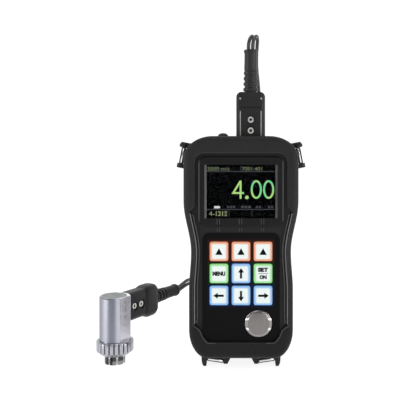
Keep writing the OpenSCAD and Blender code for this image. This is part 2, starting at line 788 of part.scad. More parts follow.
module key_mat() {
  mat_w = 3 * column_pitch + mat_margin;
  mat_h = 3 * row_pitch + mat_margin;
  color("#9a9d9c")
  union() {
    plate(round_rect(0, upper_row_z - row_pitch, mat_w, mat_h, key_r), inner_face_y, inner_face_y + mat_t);
    for (row = [0:2]) for (column = [-1:1])
      round_y(column * column_pitch, upper_row_z - row * row_pitch, dome_r, inner_face_y - dome_h,
        inner_face_y + contact_fit);
  }
}

module key(column, row) {
  x = column * column_pitch;
  z = upper_row_z - row * row_pitch;
  flange_front = face_y + key_flange_gap;
  union() {
    plate(round_rect(x, z, key_w, key_h, key_r), panel_front_y - key_rise, flange_front + contact_fit);
    plate(round_rect(x, z, key_w + 2 * key_flange, key_h + 2 * key_flange, key_r), flange_front,
      flange_front + key_flange_t);
  }
}

module soft_key_left() {
  color("#e0885e") key(-1, 0);
}
module soft_key_middle() {
  color("#e0885e") key(0, 0);
}
module soft_key_right() {
  color("#e0885e") key(1, 0);
}
module menu_key() {
  color("#86d68c") key(-1, 1);
}
module up_key() {
  color("#8fb8e4") key(0, 1);
}
module power_key() {
  color("#86d68c") key(1, 1);
}
module left_key() {
  color("#8fb8e4") key(-1, 2);
}
module down_key() {
  color("#8fb8e4") key(0, 2);
}
module right_key() {
  color("#8fb8e4") key(1, 2);
}

module calibration_disc() {
  color("#8a827e")
  union() {
    round_y(disc_x, disc_z, disc_d / 2 - disc_step_w, panel_front_y - disc_proud, face_y + disc_seat);
    round_y(disc_x, disc_z, disc_d / 2, panel_front_y - disc_proud / 2, face_y + disc_seat);
  }
}

module gauge_sockets() {
  bore_r = contact_d / 2 + contact_fit;
  color("#b9bcc0")
  difference() {
    union() {
      for (side = [-1, 1]) translate([plug_x + side * contact_pitch / 2, 0, 0]) {
        translate([0, 0, casing_top - socket_len])
          cylinder(r = bore_r + socket_wall, h = socket_len + socket_rim_t);
        translate([0, 0, casing_top]) cylinder(r = bore_r + socket_wall + socket_rim, h = socket_rim_t);
      }
      translate([plug_x, 0, casing_top - casing_wall - nut_plate_t]) linear_extrude(height = nut_plate_t)
        polygon(round_rect(0, 0, plug_w, nut_plate_d, nut_plate_r));
    }
    for (side = [-1, 1])
      translate([plug_x + side * contact_pitch / 2, 0, plug_bottom_z - contact_reach - overrun])
        cylinder(r = bore_r, h = contact_reach + 2 * overrun);
  }
}

module data_port() {
  color("#a9acb0")
  difference() {
    union() {
      translate([port_x, 0, casing_top - port_len]) cylinder(r = port_r, h = port_len + socket_rim_t);
      translate([port_x, 0, casing_top]) cylinder(r = port_r + socket_rim / 2, h = socket_rim_t);
    }
    translate([port_x, 0, casing_top - port_len + overrun])
      cylinder(r = port_bore_r, h = port_len + 2 * overrun);
  }
}

module port_cap() {
  base_z = casing_top + socket_rim_t + side_gap;
  top_z = foot_h + boot_h + cap_top;
  stem_z = casing_top - port_len + 2 * overrun;
  color("#2a2b2d")
  translate([port_x, 0, 0])
  union() {
    rotate_extrude() intersection() {
      translate([0, top_z - 2 * cap_r]) circle(r = 2 * cap_r);
      translate([0, base_z]) square([cap_r, top_z - base_z]);
    }
    translate([0, 0, stem_z]) cylinder(r = cap_stem_r, h = base_z - stem_z + contact_fit);
  }
}

module battery_tray() {
  color("#3a3c3f")
  difference() {
    plate(round_rect(0, tray_z, tray_w, tray_h, key_r), tray_front_y, inner_rear_y);
    plate(round_rect(0, tray_z, tray_w - 2 * tray_wall, tray_inner_h, small_corner_r),
      tray_front_y + tray_wall, inner_rear_y + overrun);
  }
}

module cell_places() {
  for (i = [0:cell_count - 1])
    translate([
      (i - (cell_count - 1) / 2) * (cell_d + cell_gap),
      tray_front_y + tray_wall + end_gap + cell_d / 2,
      tray_z
    ]) children();
}

module battery_cells() {
  nub_len = 1;
  color("#3f7f4a")
  cell_places() union() {
    translate([0, 0, -cell_len / 2]) cylinder(d = cell_d, h = cell_len - nub_len);
    translate([0, 0, -cell_len / 2]) cylinder(d = cell_d * cell_nub_share, h = cell_len);
  }
}

module battery_contacts() {
  plate_w = cell_d * contact_plate_share;
  color("#c9ccd0")
  cell_places() for (end = [-1, 1])
    mirror([0, 0, (1 - end) / 2]) union() {
      translate([-plate_w / 2, -plate_w / 2, tray_inner_h / 2 - contact_plate_t])
        cube([plate_w, plate_w, contact_plate_t]);
      translate([0, 0, cell_len / 2 + end_gap])
        cylinder(r1 = cell_d * spring_tip_share, r2 = cell_d * spring_root_share,
          h = tray_inner_h / 2 - cell_len / 2 - end_gap - contact_fit);
    }
}

module battery_door() {
  color("#232426")
  difference() {
    plate(round_rect(0, tray_z, door_w, door_h, back_window_r - back_window_gap), rear_y, rear_y + door_t);
    for (x = [-1, 1]) for (z = [-1, 1]) {
      round_y(x * door_screw_x, tray_z + z * door_screw_z, door_screw_r + seat_fit, rear_y - overrun,
        rear_y + door_t + overrun);
      round_y(x * door_screw_x, tray_z + z * door_screw_z, door_head_r + seat_fit,
        rear_y + door_t - door_head_t, rear_y + door_t + overrun);
    }
  }
}

module door_screws() {
  color("#a4a7ab")
  for (x = [-1, 1]) for (z = [-1, 1]) difference() {
    union() {
      round_y(x * door_screw_x, tray_z + z * door_screw_z, door_head_r, rear_y + door_t - door_head_t,
        rear_y + door_t);
      round_y(x * door_screw_x, tray_z + z * door_screw_z, door_screw_r, rear_y + door_t - door_screw_len,
        rear_y + door_t - contact_fit);
    }
    translate([x * door_screw_x, rear_y + door_t, tray_z + z * door_screw_z])
      cube([3 * door_head_r, screw_slot_w, screw_slot_w], center = true);
  }
}

module casing_screws() {
  color("#8e9195")
  casing_screw_places() union() {
    round_y(0, 0, casing_head_r, rear_y - casing_head_t, rear_y - contact_fit);
    round_y(0, 0, casing_screw_r, inner_face_y + 2 * overrun, rear_y - casing_head_t / 2);
  }
}

// The lug's own frame has Z along the ring's bar and X away from the boot
module upper_lug_frame() {
  translate([upper_bar_x, 0, upper_bar_z]) rotate([0, -upper_lug_lean, 0]) children();
}

module lower_lug_frame() {
  translate([lower_bar_x, lower_bar_y, lower_bar_z]) rotate([0, 90 - lower_lug_lean, 0]) children();
}

module upper_lug_base(fit) {
  translate([-lug_standoff - lug_base_t, -upper_lug_d / 2 - fit, -ear_gap / 2 - small_ear_t - fit])
    cube([lug_base_t, upper_lug_d + 2 * fit, ear_gap + small_ear_t + big_ear_t + 2 * fit]);
}

module upper_lug() {
  difference() {
    union() {
      upper_lug_base(0);
      for (ear = [[ear_gap / 2, big_ear_t], [-ear_gap / 2 - small_ear_t, small_ear_t]])
        translate([0, 0, ear[0]]) {
          cylinder(r = ear_r, h = ear[1]);
          translate([-lug_standoff - overrun, -ear_r, 0]) cube([lug_standoff + overrun, 2 * ear_r, ear[1]]);
        }
    }
    translate([0, 0, -ear_gap / 2 - trunnion_hole_len])
      cylinder(r = wire_r + running_fit, h = ear_gap + 2 * trunnion_hole_len);
  }
}

module upper_strap_lugs() {
  color("#202123")
  for (side = [0, 1]) mirror([side, 0, 0]) upper_lug_frame() upper_lug();
}

// Points beside the lower bar: along the bar, then away from the boot
function by_bar(along, away) = [
  lower_bar_x + along * cos(lower_lug_lean) + away * sin(lower_lug_lean),
  lower_bar_z + along * sin(lower_lug_lean) - away * cos(lower_lug_lean)
];
function to_floor(along) = (lower_bar_z + along * sin(lower_lug_lean)) / cos(lower_lug_lean);

lower_lug_outer_x = lower_bar_x + ear_gap / 2 + lower_ear_outer;
lower_lug_inner_x = lower_bar_x - ear_gap / 2 - lower_ear_inner;

module lower_lug_base(fit) {
  translate([lower_lug_inner_x - fit, lower_lug_front - fit, foot_h - overrun])
    cube([lower_lug_outer_x - lower_lug_inner_x + 2 * fit, lower_lug_d + 2 * fit,
      lower_lug_top - foot_h + overrun]);
}

module lower_lug() {
  floor_point = by_bar(ear_gap / 2, to_floor(ear_gap / 2));
  outer = lower_lug_outer_x;
  inner_ear_z = lower_bar_z - inner_ear_drop;
  inner = lower_lug_inner_x;
  difference() {
    plate([
      [inner, lower_lug_top], [inner, foot_h - lower_base_t], [inner + inner_ear_slant, inner_ear_z],
      [inner + inner_ear_slant + inner_ear_tip, inner_ear_z], by_bar(-ear_gap / 2, inner_ear_lip),
      by_bar(-ear_gap / 2, -lug_standoff), by_bar(ear_gap / 2, -lug_standoff), floor_point,
      [outer - foot_round[0], 0], [outer - foot_round[1], foot_round_h], [outer - foot_round[2], lower_bar_z],
      [outer, foot_h], [outer, lower_lug_top]
    ], lower_lug_front, lower_lug_front + lower_lug_d);
    lower_lug_frame() translate([0, 0, -ear_gap / 2 - trunnion_hole_len])
      cylinder(r = wire_r + running_fit, h = ear_gap + 2 * trunnion_hole_len);
  }
}

module lower_strap_lugs() {
  color("#202123")
  for (side = [0, 1]) mirror([side, 0, 0]) lower_lug();
}

// A ring with its bow towards +Y and its bar along Z
module strap_ring(turn) {
  rotate([0, 0, turn]) union() {
    translate([0, 0, -ear_gap / 2 - trunnion_len]) cylinder(r = wire_r, h = ear_gap + 2 * trunnion_len);
    for (side = [-1, 1]) translate([0, 0, side * ring_leg_pitch / 2])
      rotate([-90, 0, 0]) cylinder(r = wire_r, h = ring_leg_len);
    translate([0, ring_leg_len, 0]) rotate([0, 90, 0]) rotate_extrude(angle = 180)
      translate([ring_leg_pitch / 2, 0]) circle(r = wire_r);
  }
}

module upper_right_ring() {
  color("#c8cacd") upper_lug_frame() strap_ring(upper_ring_fold);
}
module upper_left_ring() {
  color("#c8cacd") mirror([1, 0, 0]) upper_lug_frame() strap_ring(upper_ring_fold);
}
module lower_right_ring() {
  color("#c8cacd") lower_lug_frame() strap_ring(-lower_ring_drop);
}
module lower_left_ring() {
  color("#c8cacd") mirror([1, 0, 0]) lower_lug_frame() strap_ring(-lower_ring_drop);
}

// A lead plug stands on its mating face with the strain relief on top and its screws towards -Y
relief_len = ribs_len + sleeve_len;

module plug_outline() {
  polygon(round_rect(0, 0, plug_w, plug_t, plug_corner_r));
}

module plug_front_view() {
  plate(round_rect(0, 0, plug_w, 2 * plug_len, plug_end_r), -plug_t, plug_t);
}

module plug_contacts() {
  for (side = [-1, 1]) translate([side * contact_pitch / 2, 0, -contact_reach])
    difference() {
      cylinder(r = contact_d / 2, h = contact_len);
      translate([0, 0, -overrun]) difference() {
        cylinder(r = contact_d / 2 - contact_wall, h = contact_reach * contact_bore_share);
        cylinder(r = contact_pin_r, h = contact_reach);
      }
    }
}

module plug_screw_places() {
  for (drop = plug_screw_from_end) translate([0, 0, plug_len - drop]) children();
}

module plug_hollows() {
  for (side = [-1, 1]) translate([side * contact_pitch / 2, 0, -overrun])
    cylinder(r = contact_d / 2 + contact_fit, h = contact_len - contact_reach + 2 * overrun);
  translate([-joint_box_w / 2, -joint_box_t / 2, contact_len - contact_reach])
    cube([joint_box_w, joint_box_t, joint_box_h]);
  translate([0, 0, contact_len - contact_reach]) cylinder(r = relief_root_r + contact_fit, h = plug_len);
  plug_screw_places() {
    round_y(0, 0, plug_screw_r + contact_fit, -plug_t, -plug_t / 2 + plug_screw_depth + contact_fit);
    round_y(0, 0, plug_screw_recess_r, -plug_t, -plug_t / 2 + plug_screw_recess);
    round_y(0, 0, plug_screw_head_r + seat_fit, -plug_t, -plug_t / 2 + plug_screw_recess + plug_screw_head_t);
  }
}

module plug_shell(front) {
  difference() {
    intersection() {
      linear_extrude(height = plug_len) plug_outline();
      plug_front_view();
      translate([-plug_w, front ? -plug_t : 0, 0]) cube([2 * plug_w, plug_t, plug_len]);
    }
    plug_hollows();
  }
}

module plug_screws() {
  head_y = -plug_t / 2 + plug_screw_recess;
  plug_screw_places() difference() {
    union() {
      round_y(0, 0, plug_screw_head_r, head_y, head_y + plug_screw_head_t);
      round_y(0, 0, plug_screw_r, head_y + contact_fit, -plug_t / 2 + plug_screw_depth);
    }
    translate([0, head_y, 0]) cube([3 * plug_screw_head_r, screw_slot_w, screw_slot_w], center = true);
  }
}

module plug_relief() {
  rib_pitch = ribs_len / rib_count;
  rib_h = rib_pitch * rib_share;
  translate([0, 0, plug_len]) union() {
    translate([0, 0, -relief_root_len]) cylinder(r = relief_root_r, h = relief_root_len + contact_fit);
    cylinder(d = rib_core_d, h = ribs_len + contact_fit);
    for (i = [0:rib_count - 1]) translate([0, 0, i * rib_pitch + (rib_pitch - rib_h) / 2])
      cylinder(d = ribs_d, h = rib_h);
    translate([0, 0, ribs_len]) cylinder(d = sleeve_d, h = sleeve_len);
    translate([0, 0, ribs_len + sleeve_len - lip_len]) cylinder(d = lip_d, h = lip_len - lip_step);
  }
}

module gauge_plug_frame() {
  translate([plug_x, 0, plug_bottom_z]) children();
}

plug_face = plug_flat + side_gap;
module probe_plug_frame() {
  translate([-probe_x + plug_face * cos(plug_turn), -probe_y + plug_face * sin(plug_turn), probe_plug_h])
    rotate([0, 90, plug_turn]) children();
}

module gauge_plug_front_shell() {
  color("#3b3a40") gauge_plug_frame() plug_shell(true);
}
module gauge_plug_rear_shell() {
  color("#3b3a40") gauge_plug_frame() plug_shell(false);
}
module gauge_plug_contacts() {
  color("#c6b489") gauge_plug_frame() plug_contacts();
}
module gauge_plug_screws() {
  color("#b4b6b9") gauge_plug_frame() plug_screws();
}
module gauge_plug_relief() {
  color("#2c2c30") gauge_plug_frame() plug_relief();
}
module probe_plug_front_shell() {
  color("#3b3a40") probe_plug_frame() plug_shell(true);
}
module probe_plug_rear_shell() {
  color("#3b3a40") probe_plug_frame() plug_shell(false);
}
module probe_plug_contacts() {
  color("#c6b489") probe_plug_frame() plug_contacts();
}
module probe_plug_screws() {
  color("#b4b6b9") probe_plug_frame() plug_screws();
}
module probe_plug_relief() {
  color("#2c2c30") probe_plug_frame() plug_relief();
}

// One cable's middle line, on one side of the pair's
function pair_side(heading, roll) = [sin(heading) * cos(roll), -cos(heading) * cos(roll), sin(roll)];
function one_cable(route, side) =
  [for (q = route) [q[0], q[1], q[2]] + side * cable_pitch / 2 * pair_side(q[3], q[4])];
function unit(v) = v / norm(v);
function run_dirs(points, first, last) = [
  for (i = [0:len(points) - 1])
    i == 0 ? first : i == len(points) - 1 ? last :
    unit(unit(points[i + 1] - points[i]) + unit(points[i] - points[i - 1]))
];

// A tube along a line of points; each ring is square to the line there
module tube(points, dirs, side_dirs, r, sides) {
  n = len(points);
  rings = [
    for (i = [0:n - 1]) for (k = [0:sides - 1])
      let (
        across = unit(side_dirs[i] - (side_dirs[i] * dirs[i]) * dirs[i]),
        up = cross(dirs[i], across),
        a = 360 * (k + 0.5) / sides
      )
      points[i] + r * (cos(a) * across + sin(a) * up)
  ];
  walls = [
    for (i = [0:n - 2]) for (k = [0:sides - 1])
      let (a = i * sides + k, b = i * sides + (k + 1) % sides)
      each [[a, b + sides, b], [a, a + sides, b + sides]]
  ];
  first = [for (k = [1:sides - 2]) [0, k, k + 1]];
  last = [for (k = [1:sides - 2]) [(n - 1) * sides, (n - 1) * sides + k + 1, (n - 1) * sides + k]];
  polyhedron(points = rings, faces = concat(walls, first, last));
}

// The coil winds in along the floor, climbs one layer in half a turn well inside it, and winds out again
coil_middle = coil_turns_end / 2;
coil_pitch = 2 * cable_pitch;
climb_start = coil_middle - 90;
climb_end = coil_middle + 90;
coil_reach_outer = coil_r - coil_pitch * (climb_start - 180) / 360;
coil_reach_inner = coil_reach_outer - coil_pitch;
function coil_reach(turn) = lookup(turn, [
  [0, coil_r], [climb_start - 180, coil_reach_outer], [climb_start, coil_reach_inner],
  [climb_end, coil_reach_inner], [climb_end + 180, coil_reach_outer], [coil_turns_end, coil_r]
]);
function coil_climb(turn) =
  coil_low_z + coil_layer * ease(min(max((turn - climb_start) / 180, 0), 1));
function coil_point(turn, side) =
  let (r = coil_reach(turn) + side * cable_pitch / 2)
  [coil_x + r * cos(turn), coil_y + r * sin(turn), coil_climb(turn)];
coil_turns = [for (k = [0:coil_turns_end / coil_step]) k * coil_step];
function coil_line(side) = [for (t = coil_turns) coil_point(t, side)];
function coil_heading(turn) = [-sin(turn), cos(turn), 0];

// The least gap of either cable to itself or the other, measured between points half a turn or more apart
function self_gap(line) = min([
  for (i = [0:len(line) - 1]) for (j = [i + 12:1:len(line) - 1]) norm(line[i] - line[j])
]) - cable_d;
function pair_gap(a, b) = min([for (p = a) for (q = b) norm(p - q)]) - cable_d;
echo(coil_self_gap = [self_gap(coil_line(-1)), self_gap(coil_line(1))]);
echo(coil_pair_gap = pair_gap(coil_line(-1), coil_line(1)));

lead_exit_reach = plug_face + plug_len + relief_len;
lead_dir = [cos(plug_turn), sin(plug_turn), 0];
lead_exit = [-probe_x, -probe_y, probe_plug_h] + lead_exit_reach * lead_dir;
drop_end = [coil_x + coil_r, coil_y, coil_low_z, 90, 0];
rise_start = let (p = coil_point(coil_turns_end, 0)) [p[0], p[1], p[2], coil_turns_end + 90 - 1440, 0];
lead_straight_share = 1.4;
lead_straight = lead_straight_share * cable_d;
lead_before = lead_exit + lead_straight * lead_dir;
full_drop = concat(drop_route, [drop_end]);
full_rise = concat([rise_start], rise_route, [
  [lead_before[0], lead_before[1], lead_before[2], plug_turn + 180, 90],
  [lead_exit[0], lead_exit[1], lead_exit[2], plug_turn + 180, 90]
]);

module cable_drop(side) {
  points = one_cable(full_drop, side);
  tube(points, run_dirs(points, [0, 0, 1], [0, 1, 0]), [for (q = full_drop) pair_side(q[3], q[4])],
    cable_d / 2, cable_sides);
}

module cable_coil(side) {
  tube(coil_line(side), [for (t = coil_turns) coil_heading(t)], [for (t = coil_turns) [cos(t), sin(t), 0]],
    cable_d / 2, coil_sides);
}

module cable_rise(side) {
  points = one_cable(full_rise, side);
  tube(points, run_dirs(points, coil_heading(coil_turns_end), -lead_dir),
    [for (q = full_rise) pair_side(q[3], q[4])], cable_d / 2, cable_sides);
}

module left_cable_drop() {
  color("#3c3d41") cable_drop(-1);
}
module right_cable_drop() {
  color("#3c3d41") cable_drop(1);
}
module left_cable_coil() {
  color("#3c3d41") cable_coil(-1);
}
module right_cable_coil() {
  color("#3c3d41") cable_coil(1);
}
module left_cable_rise() {
  color("#3c3d41") cable_rise(-1);
}
module right_cable_rise() {
  color("#3c3d41") cable_rise(1);
}

module lead_tie() {
  inner_reach = coil_reach(tie_turn + 360) - cable_pitch / 2 - cable_d / 2 - tie_side_gap;
  outer_reach = coil_reach(tie_turn + 1080) + cable_pitch / 2 + cable_d / 2 + tie_side_gap;
  low = coil_low_z - cable_d / 2 - tie_gap;
  high = coil_low_z + coil_layer + cable_d / 2 + tie_gap;
  color("#1a1a1c")
  translate([coil_x, coil_y, 0]) rotate([0, 0, tie_turn]) difference() {
    translate([inner_reach - tie_t, -tie_w / 2, low - tie_t])
      cube([outer_reach - inner_reach + 2 * tie_t, tie_w, high - low + 2 * tie_t]);
    translate([inner_reach, -tie_w, low]) cube([outer_reach - inner_reach, 2 * tie_w, high - low]);
  }
}

module probe_frame() {
  translate([-probe_x, -probe_y, 0]) children();
}

probe_socket_r = contact_d / 2 + contact_fit + socket_wall;

module probe_socket_places() {
  for (side = [-1, 1]) translate([0, 0, probe_plug_h + side * contact_pitch / 2])
    rotate([0, 90, plug_turn]) children();
}

module probe_body() {
  color("#9b9fa3")
  probe_frame() difference() {
    union() {
      translate([0, 0, probe_floor_z + side_gap])
        cylinder(d = probe_d, h = probe_h - probe_floor_z - side_gap - probe_rim);
      translate([0, 0, probe_h - probe_rim])
        cylinder(d1 = probe_d, d2 = probe_d - 2 * probe_rim, h = probe_rim);
    }
    cylinder(r = nose_d / 2 + contact_fit, h = nose_top_z);
    cylinder(r = nose_d / 2 - nose_wall, h = probe_h / 2 + probe_floor_z / 2);
    translate([0, 0, probe_cavity_z]) cylinder(r = probe_cavity_r, h = probe_h);
    translate([0, 0, probe_h - top_disc_t]) cylinder(r = top_disc_r + contact_fit, h = probe_h);
    rotate([0, 0, plug_turn]) translate([plug_flat, -probe_d, probe_plug_h - plug_flat_drop])
      cube([probe_d, 2 * probe_d, probe_h]);
    rotate([0, 0, plug_turn - 90]) translate([side_flat, -probe_d, side_flat_z])
      cube([probe_d, 2 * probe_d, probe_h]);
    probe_socket_places() translate([0, 0, plug_flat - probe_socket_depth - contact_fit])
      cylinder(r = probe_socket_r + contact_fit, h = probe_socket_depth + 2 * overrun);
  }
}

module probe_top_disc() {
  color("#6f7773")
  probe_frame() translate([0, 0, probe_h - top_disc_t]) cylinder(r = top_disc_r, h = top_disc_t);
}

module probe_sockets() {
  color("#b9bcc0")
  probe_frame() probe_socket_places() difference() {
    translate([0, 0, plug_flat - probe_socket_depth]) cylinder(r = probe_socket_r, h = probe_socket_depth);
    translate([0, 0, plug_face - contact_reach - overrun])
      cylinder(r = contact_d / 2 + running_fit, h = contact_reach + 2 * overrun);
  }
}

module probe_knurled_ring() {
  color("#8f9397")
  probe_frame() difference() {
    intersection() {
      rotate_extrude() polygon([
        [0, knurl_z], [knurl_foot_d / 2, knurl_z], [knurl_d / 2, knurl_z + knurl_lower_chamfer_h],
        [knurl_d / 2, knurl_z + knurl_h - knurl_upper_chamfer],
        [knurl_d / 2 - knurl_upper_chamfer, knurl_z + knurl_h], [0, knurl_z + knurl_h]
      ]);
      linear_extrude(height = probe_h) difference() {
        circle(d = knurl_d + overrun);
        for (i = [0:flute_count - 1]) rotate(360 * i / flute_count) translate([knurl_d / 2 + flute_out, 0])
          circle(r = flute_r, $fn = flute_sides);
      }
    }
    translate([0, 0, knurl_z - overrun]) cylinder(r = nose_d / 2 + running_fit, h = knurl_h + 2 * overrun);
    translate([0, 0, probe_floor_z]) cylinder(r = probe_d / 2 + running_fit, h = knurl_h);
  }
}

module probe_nose() {
  color("#4a4d52")
  probe_frame() difference() {
    cylinder(d = nose_d, h = nose_top_z);
    translate([0, 0, -overrun]) cylinder(r = nose_d / 2 - nose_wall, h = nose_top_z + 2 * overrun);
    for (i = [0:nose_slots / 2 - 1]) rotate([0, 0, 360 * (i + 0.5) / nose_slots])
      translate([-nose_d, -nose_slot_w / 2, -overrun])
        cube([2 * nose_d, nose_slot_w, knurl_z - overrun]);
  }
}

module half_round(side, r, z0, z1) {
  rotate([0, 0, plug_turn]) intersection() {
    translate([0, 0, z0]) cylinder(r = r, h = z1 - z0);
    translate([-2 * r, side > 0 ? barrier_t / 2 : -2 * r - barrier_t / 2, z0]) cube([4 * r, 2 * r, z1 - z0]);
  }
}

delay_r = nose_d / 2 - nose_wall - delay_fit;
module probe_delay_blocks() {
  color("#b98a3c")
  probe_frame() for (side = [-1, 1]) half_round(side, delay_r, 0, delay_top_z);
}

module probe_sound_barrier() {
  color("#7a4e2c")
  probe_frame() rotate([0, 0, plug_turn]) intersection() {
    cylinder(r = delay_r, h = damping_top_z);
    translate([-probe_d, -barrier_t / 2, 0]) cube([2 * probe_d, barrier_t, damping_top_z]);
  }
}

module probe_elements() {
  color("#d8c9a0")
  probe_frame() for (side = [-1, 1]) half_round(side, delay_r - delay_fit, delay_top_z, damping_top_z);
}

protective_boot();
front_casing();
rear_casing();
casing_seal();
display_bezel();
display_window();
lcd_module();
main_board();
keypad_panel();
key_mat();
calibration_disc();
gauge_sockets();
data_port();
battery_tray();
battery_cells();
battery_contacts();
battery_door();
door_screws();
casing_screws();
upper_strap_lugs();
lower_strap_lugs();
upper_left_ring();
upper_right_ring();
lower_left_ring();
lower_right_ring();
soft_key_left();
soft_key_middle();
soft_key_right();
menu_key();
up_key();
power_key();
left_key();
down_key();
right_key();
port_cap();
gauge_plug_front_shell();
gauge_plug_rear_shell();
gauge_plug_contacts();
gauge_plug_screws();
gauge_plug_relief();
probe_plug_front_shell();
probe_plug_rear_shell();
probe_plug_contacts();
probe_plug_screws();
probe_plug_relief();
left_cable_drop();
right_cable_drop();
left_cable_coil();
right_cable_coil();
left_cable_rise();
right_cable_rise();
lead_tie();
probe_body();
probe_top_disc();
probe_knurled_ring();
probe_nose();
probe_delay_blocks();
probe_sound_barrier();
probe_elements();
probe_sockets();
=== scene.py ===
import json
import math

import bmesh
import bpy
from mathutils import Matrix, Vector


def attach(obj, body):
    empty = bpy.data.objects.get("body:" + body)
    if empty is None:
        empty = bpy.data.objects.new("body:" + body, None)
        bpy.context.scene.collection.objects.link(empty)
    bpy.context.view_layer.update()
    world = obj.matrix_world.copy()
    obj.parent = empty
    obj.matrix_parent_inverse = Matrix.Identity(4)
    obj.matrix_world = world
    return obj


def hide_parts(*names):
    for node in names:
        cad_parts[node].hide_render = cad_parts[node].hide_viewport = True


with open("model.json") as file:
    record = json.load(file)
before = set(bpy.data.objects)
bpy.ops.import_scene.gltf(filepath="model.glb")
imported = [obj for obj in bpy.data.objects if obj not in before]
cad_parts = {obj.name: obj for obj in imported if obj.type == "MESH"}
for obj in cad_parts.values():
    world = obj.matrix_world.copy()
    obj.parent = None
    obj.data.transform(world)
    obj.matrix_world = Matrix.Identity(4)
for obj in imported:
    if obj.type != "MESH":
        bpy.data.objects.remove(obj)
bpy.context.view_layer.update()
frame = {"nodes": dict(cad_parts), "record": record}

MM = 0.001
SCENE = bpy.context.scene
NODES = frame["nodes"]
BODY = {n: b for b, ns in frame["record"]["behaviour"]["bodies"].items() for n in ns}


def cosd(degrees):
    return math.cos(math.radians(degrees))


def sind(degrees):
    return math.sin(math.radians(degrees))


def rotated(degrees, axis):
    return Matrix.Rotation(math.radians(degrees), 4, axis)


def give(thing, **values):
    """Sets these properties of a thing and returns it."""
    for name, v in values.items():
        setattr(thing, name, v)
    return thing


def added(name, data):
    """A new object of the scene."""
    obj = bpy.data.objects.new(name, data)
    SCENE.collection.objects.link(obj)
    return obj


# The camera looks level from in front, in metres, and its frame is shifted like the photograph's
CAMERA_AWAY, CAMERA_HIGH = 0.523, 0.1755
LENS, SENSOR, SHIFT_X, SHIFT_Y = 60.39, 36, -0.1025, -0.16
camera = added("view_camera", bpy.data.cameras.new("view_camera"))
give(camera, location=(0, -CAMERA_AWAY, CAMERA_HIGH), rotation_euler=(math.radians(90), 0, 0))
give(camera.data, lens=LENS, sensor_width=SENSOR, shift_x=SHIFT_X, shift_y=SHIFT_Y, clip_start=0.02)
SCENE.camera = camera

world = bpy.data.worlds.new("studio")
world.use_nodes = True
sky = world.node_tree.nodes["Background"]
sky.inputs["Color"].default_value = (1, 1, 1, 1)
sky.inputs["Strength"].default_value = 0.22
SCENE.world = world
SCENE.view_settings.view_transform = "Standard"


def lamp(name, place, aim, size, power, size_y=None):
    data = give(bpy.data.lights.new(name, "AREA"), shape="RECTANGLE", size=size,
                size_y=size_y or size, energy=power)
    turn = (Vector(aim) - Vector(place)).to_track_quat("-Z", "Y").to_euler()
    give(added(name, data), location=place, rotation_euler=turn)


# A small node language for materials
def feed(tree, socket, value):
    """Links a value to a node's input, or writes a plain number or colour there."""
    source = value.socket if isinstance(value, Value) else value
    if isinstance(source, bpy.types.NodeSocket):
        tree.links.new(source, socket)
    else:
        socket.default_value = source


def new_node(tree, kind, inputs, **settings):
    """A new node with these settings and values at its inputs, which go by name or number."""
    new = give(tree.nodes.new("ShaderNode" + kind), **settings)
    for name, v in inputs.items():
        feed(tree, new.inputs[name], v)
    return new


def sum_of(kind):
    """A method of Value that puts it first in a math node of this kind."""
    def method(self, *others):
        new = new_node(self.tree, "Math", dict(enumerate((self,) + others)), operation=kind)
        return Value(self.tree, new.outputs[0])
    return method


class Value:
    """One number of a material's node tree, with the sums that the materials below need."""

    def __init__(self, tree, socket):
        self.tree = tree
        self.socket = socket

    __add__ = sum_of("ADD")
    __sub__ = sum_of("SUBTRACT")
    __mul__ = sum_of("MULTIPLY")
    __truediv__ = sum_of("DIVIDE")
    abs = sum_of("ABSOLUTE")
    max = sum_of("MAXIMUM")
    min = sum_of("MINIMUM")
    round = sum_of("ROUND")
    power = sum_of("POWER")
    sin = sum_of("SINE")
    sqrt = sum_of("SQRT")
    atan2 = sum_of("ARCTAN2")

    def span(self, low, high, to_low=0.0, to_high=1.0, smooth=False):
        """One range mapped to another one, and held within it."""
        inputs = {"Value": self, "From Min": low, "From Max": high, "To Min": to_low, "To Max": to_high}
        new = new_node(self.tree, "MapRange", inputs, interpolation_type="SMOOTHSTEP" if smooth else "LINEAR")
        return Value(self.tree, new.outputs["Result"])


def distance(a, b):
    """The length of the slope over two values at a right angle."""
    return (a.abs().power(2) + b.abs().power(2)).sqrt()


def rgba(color):
    """A colour as a node takes it. A socket stays as it is."""
    return color if isinstance(color, bpy.types.NodeSocket) else (*color, 1.0)


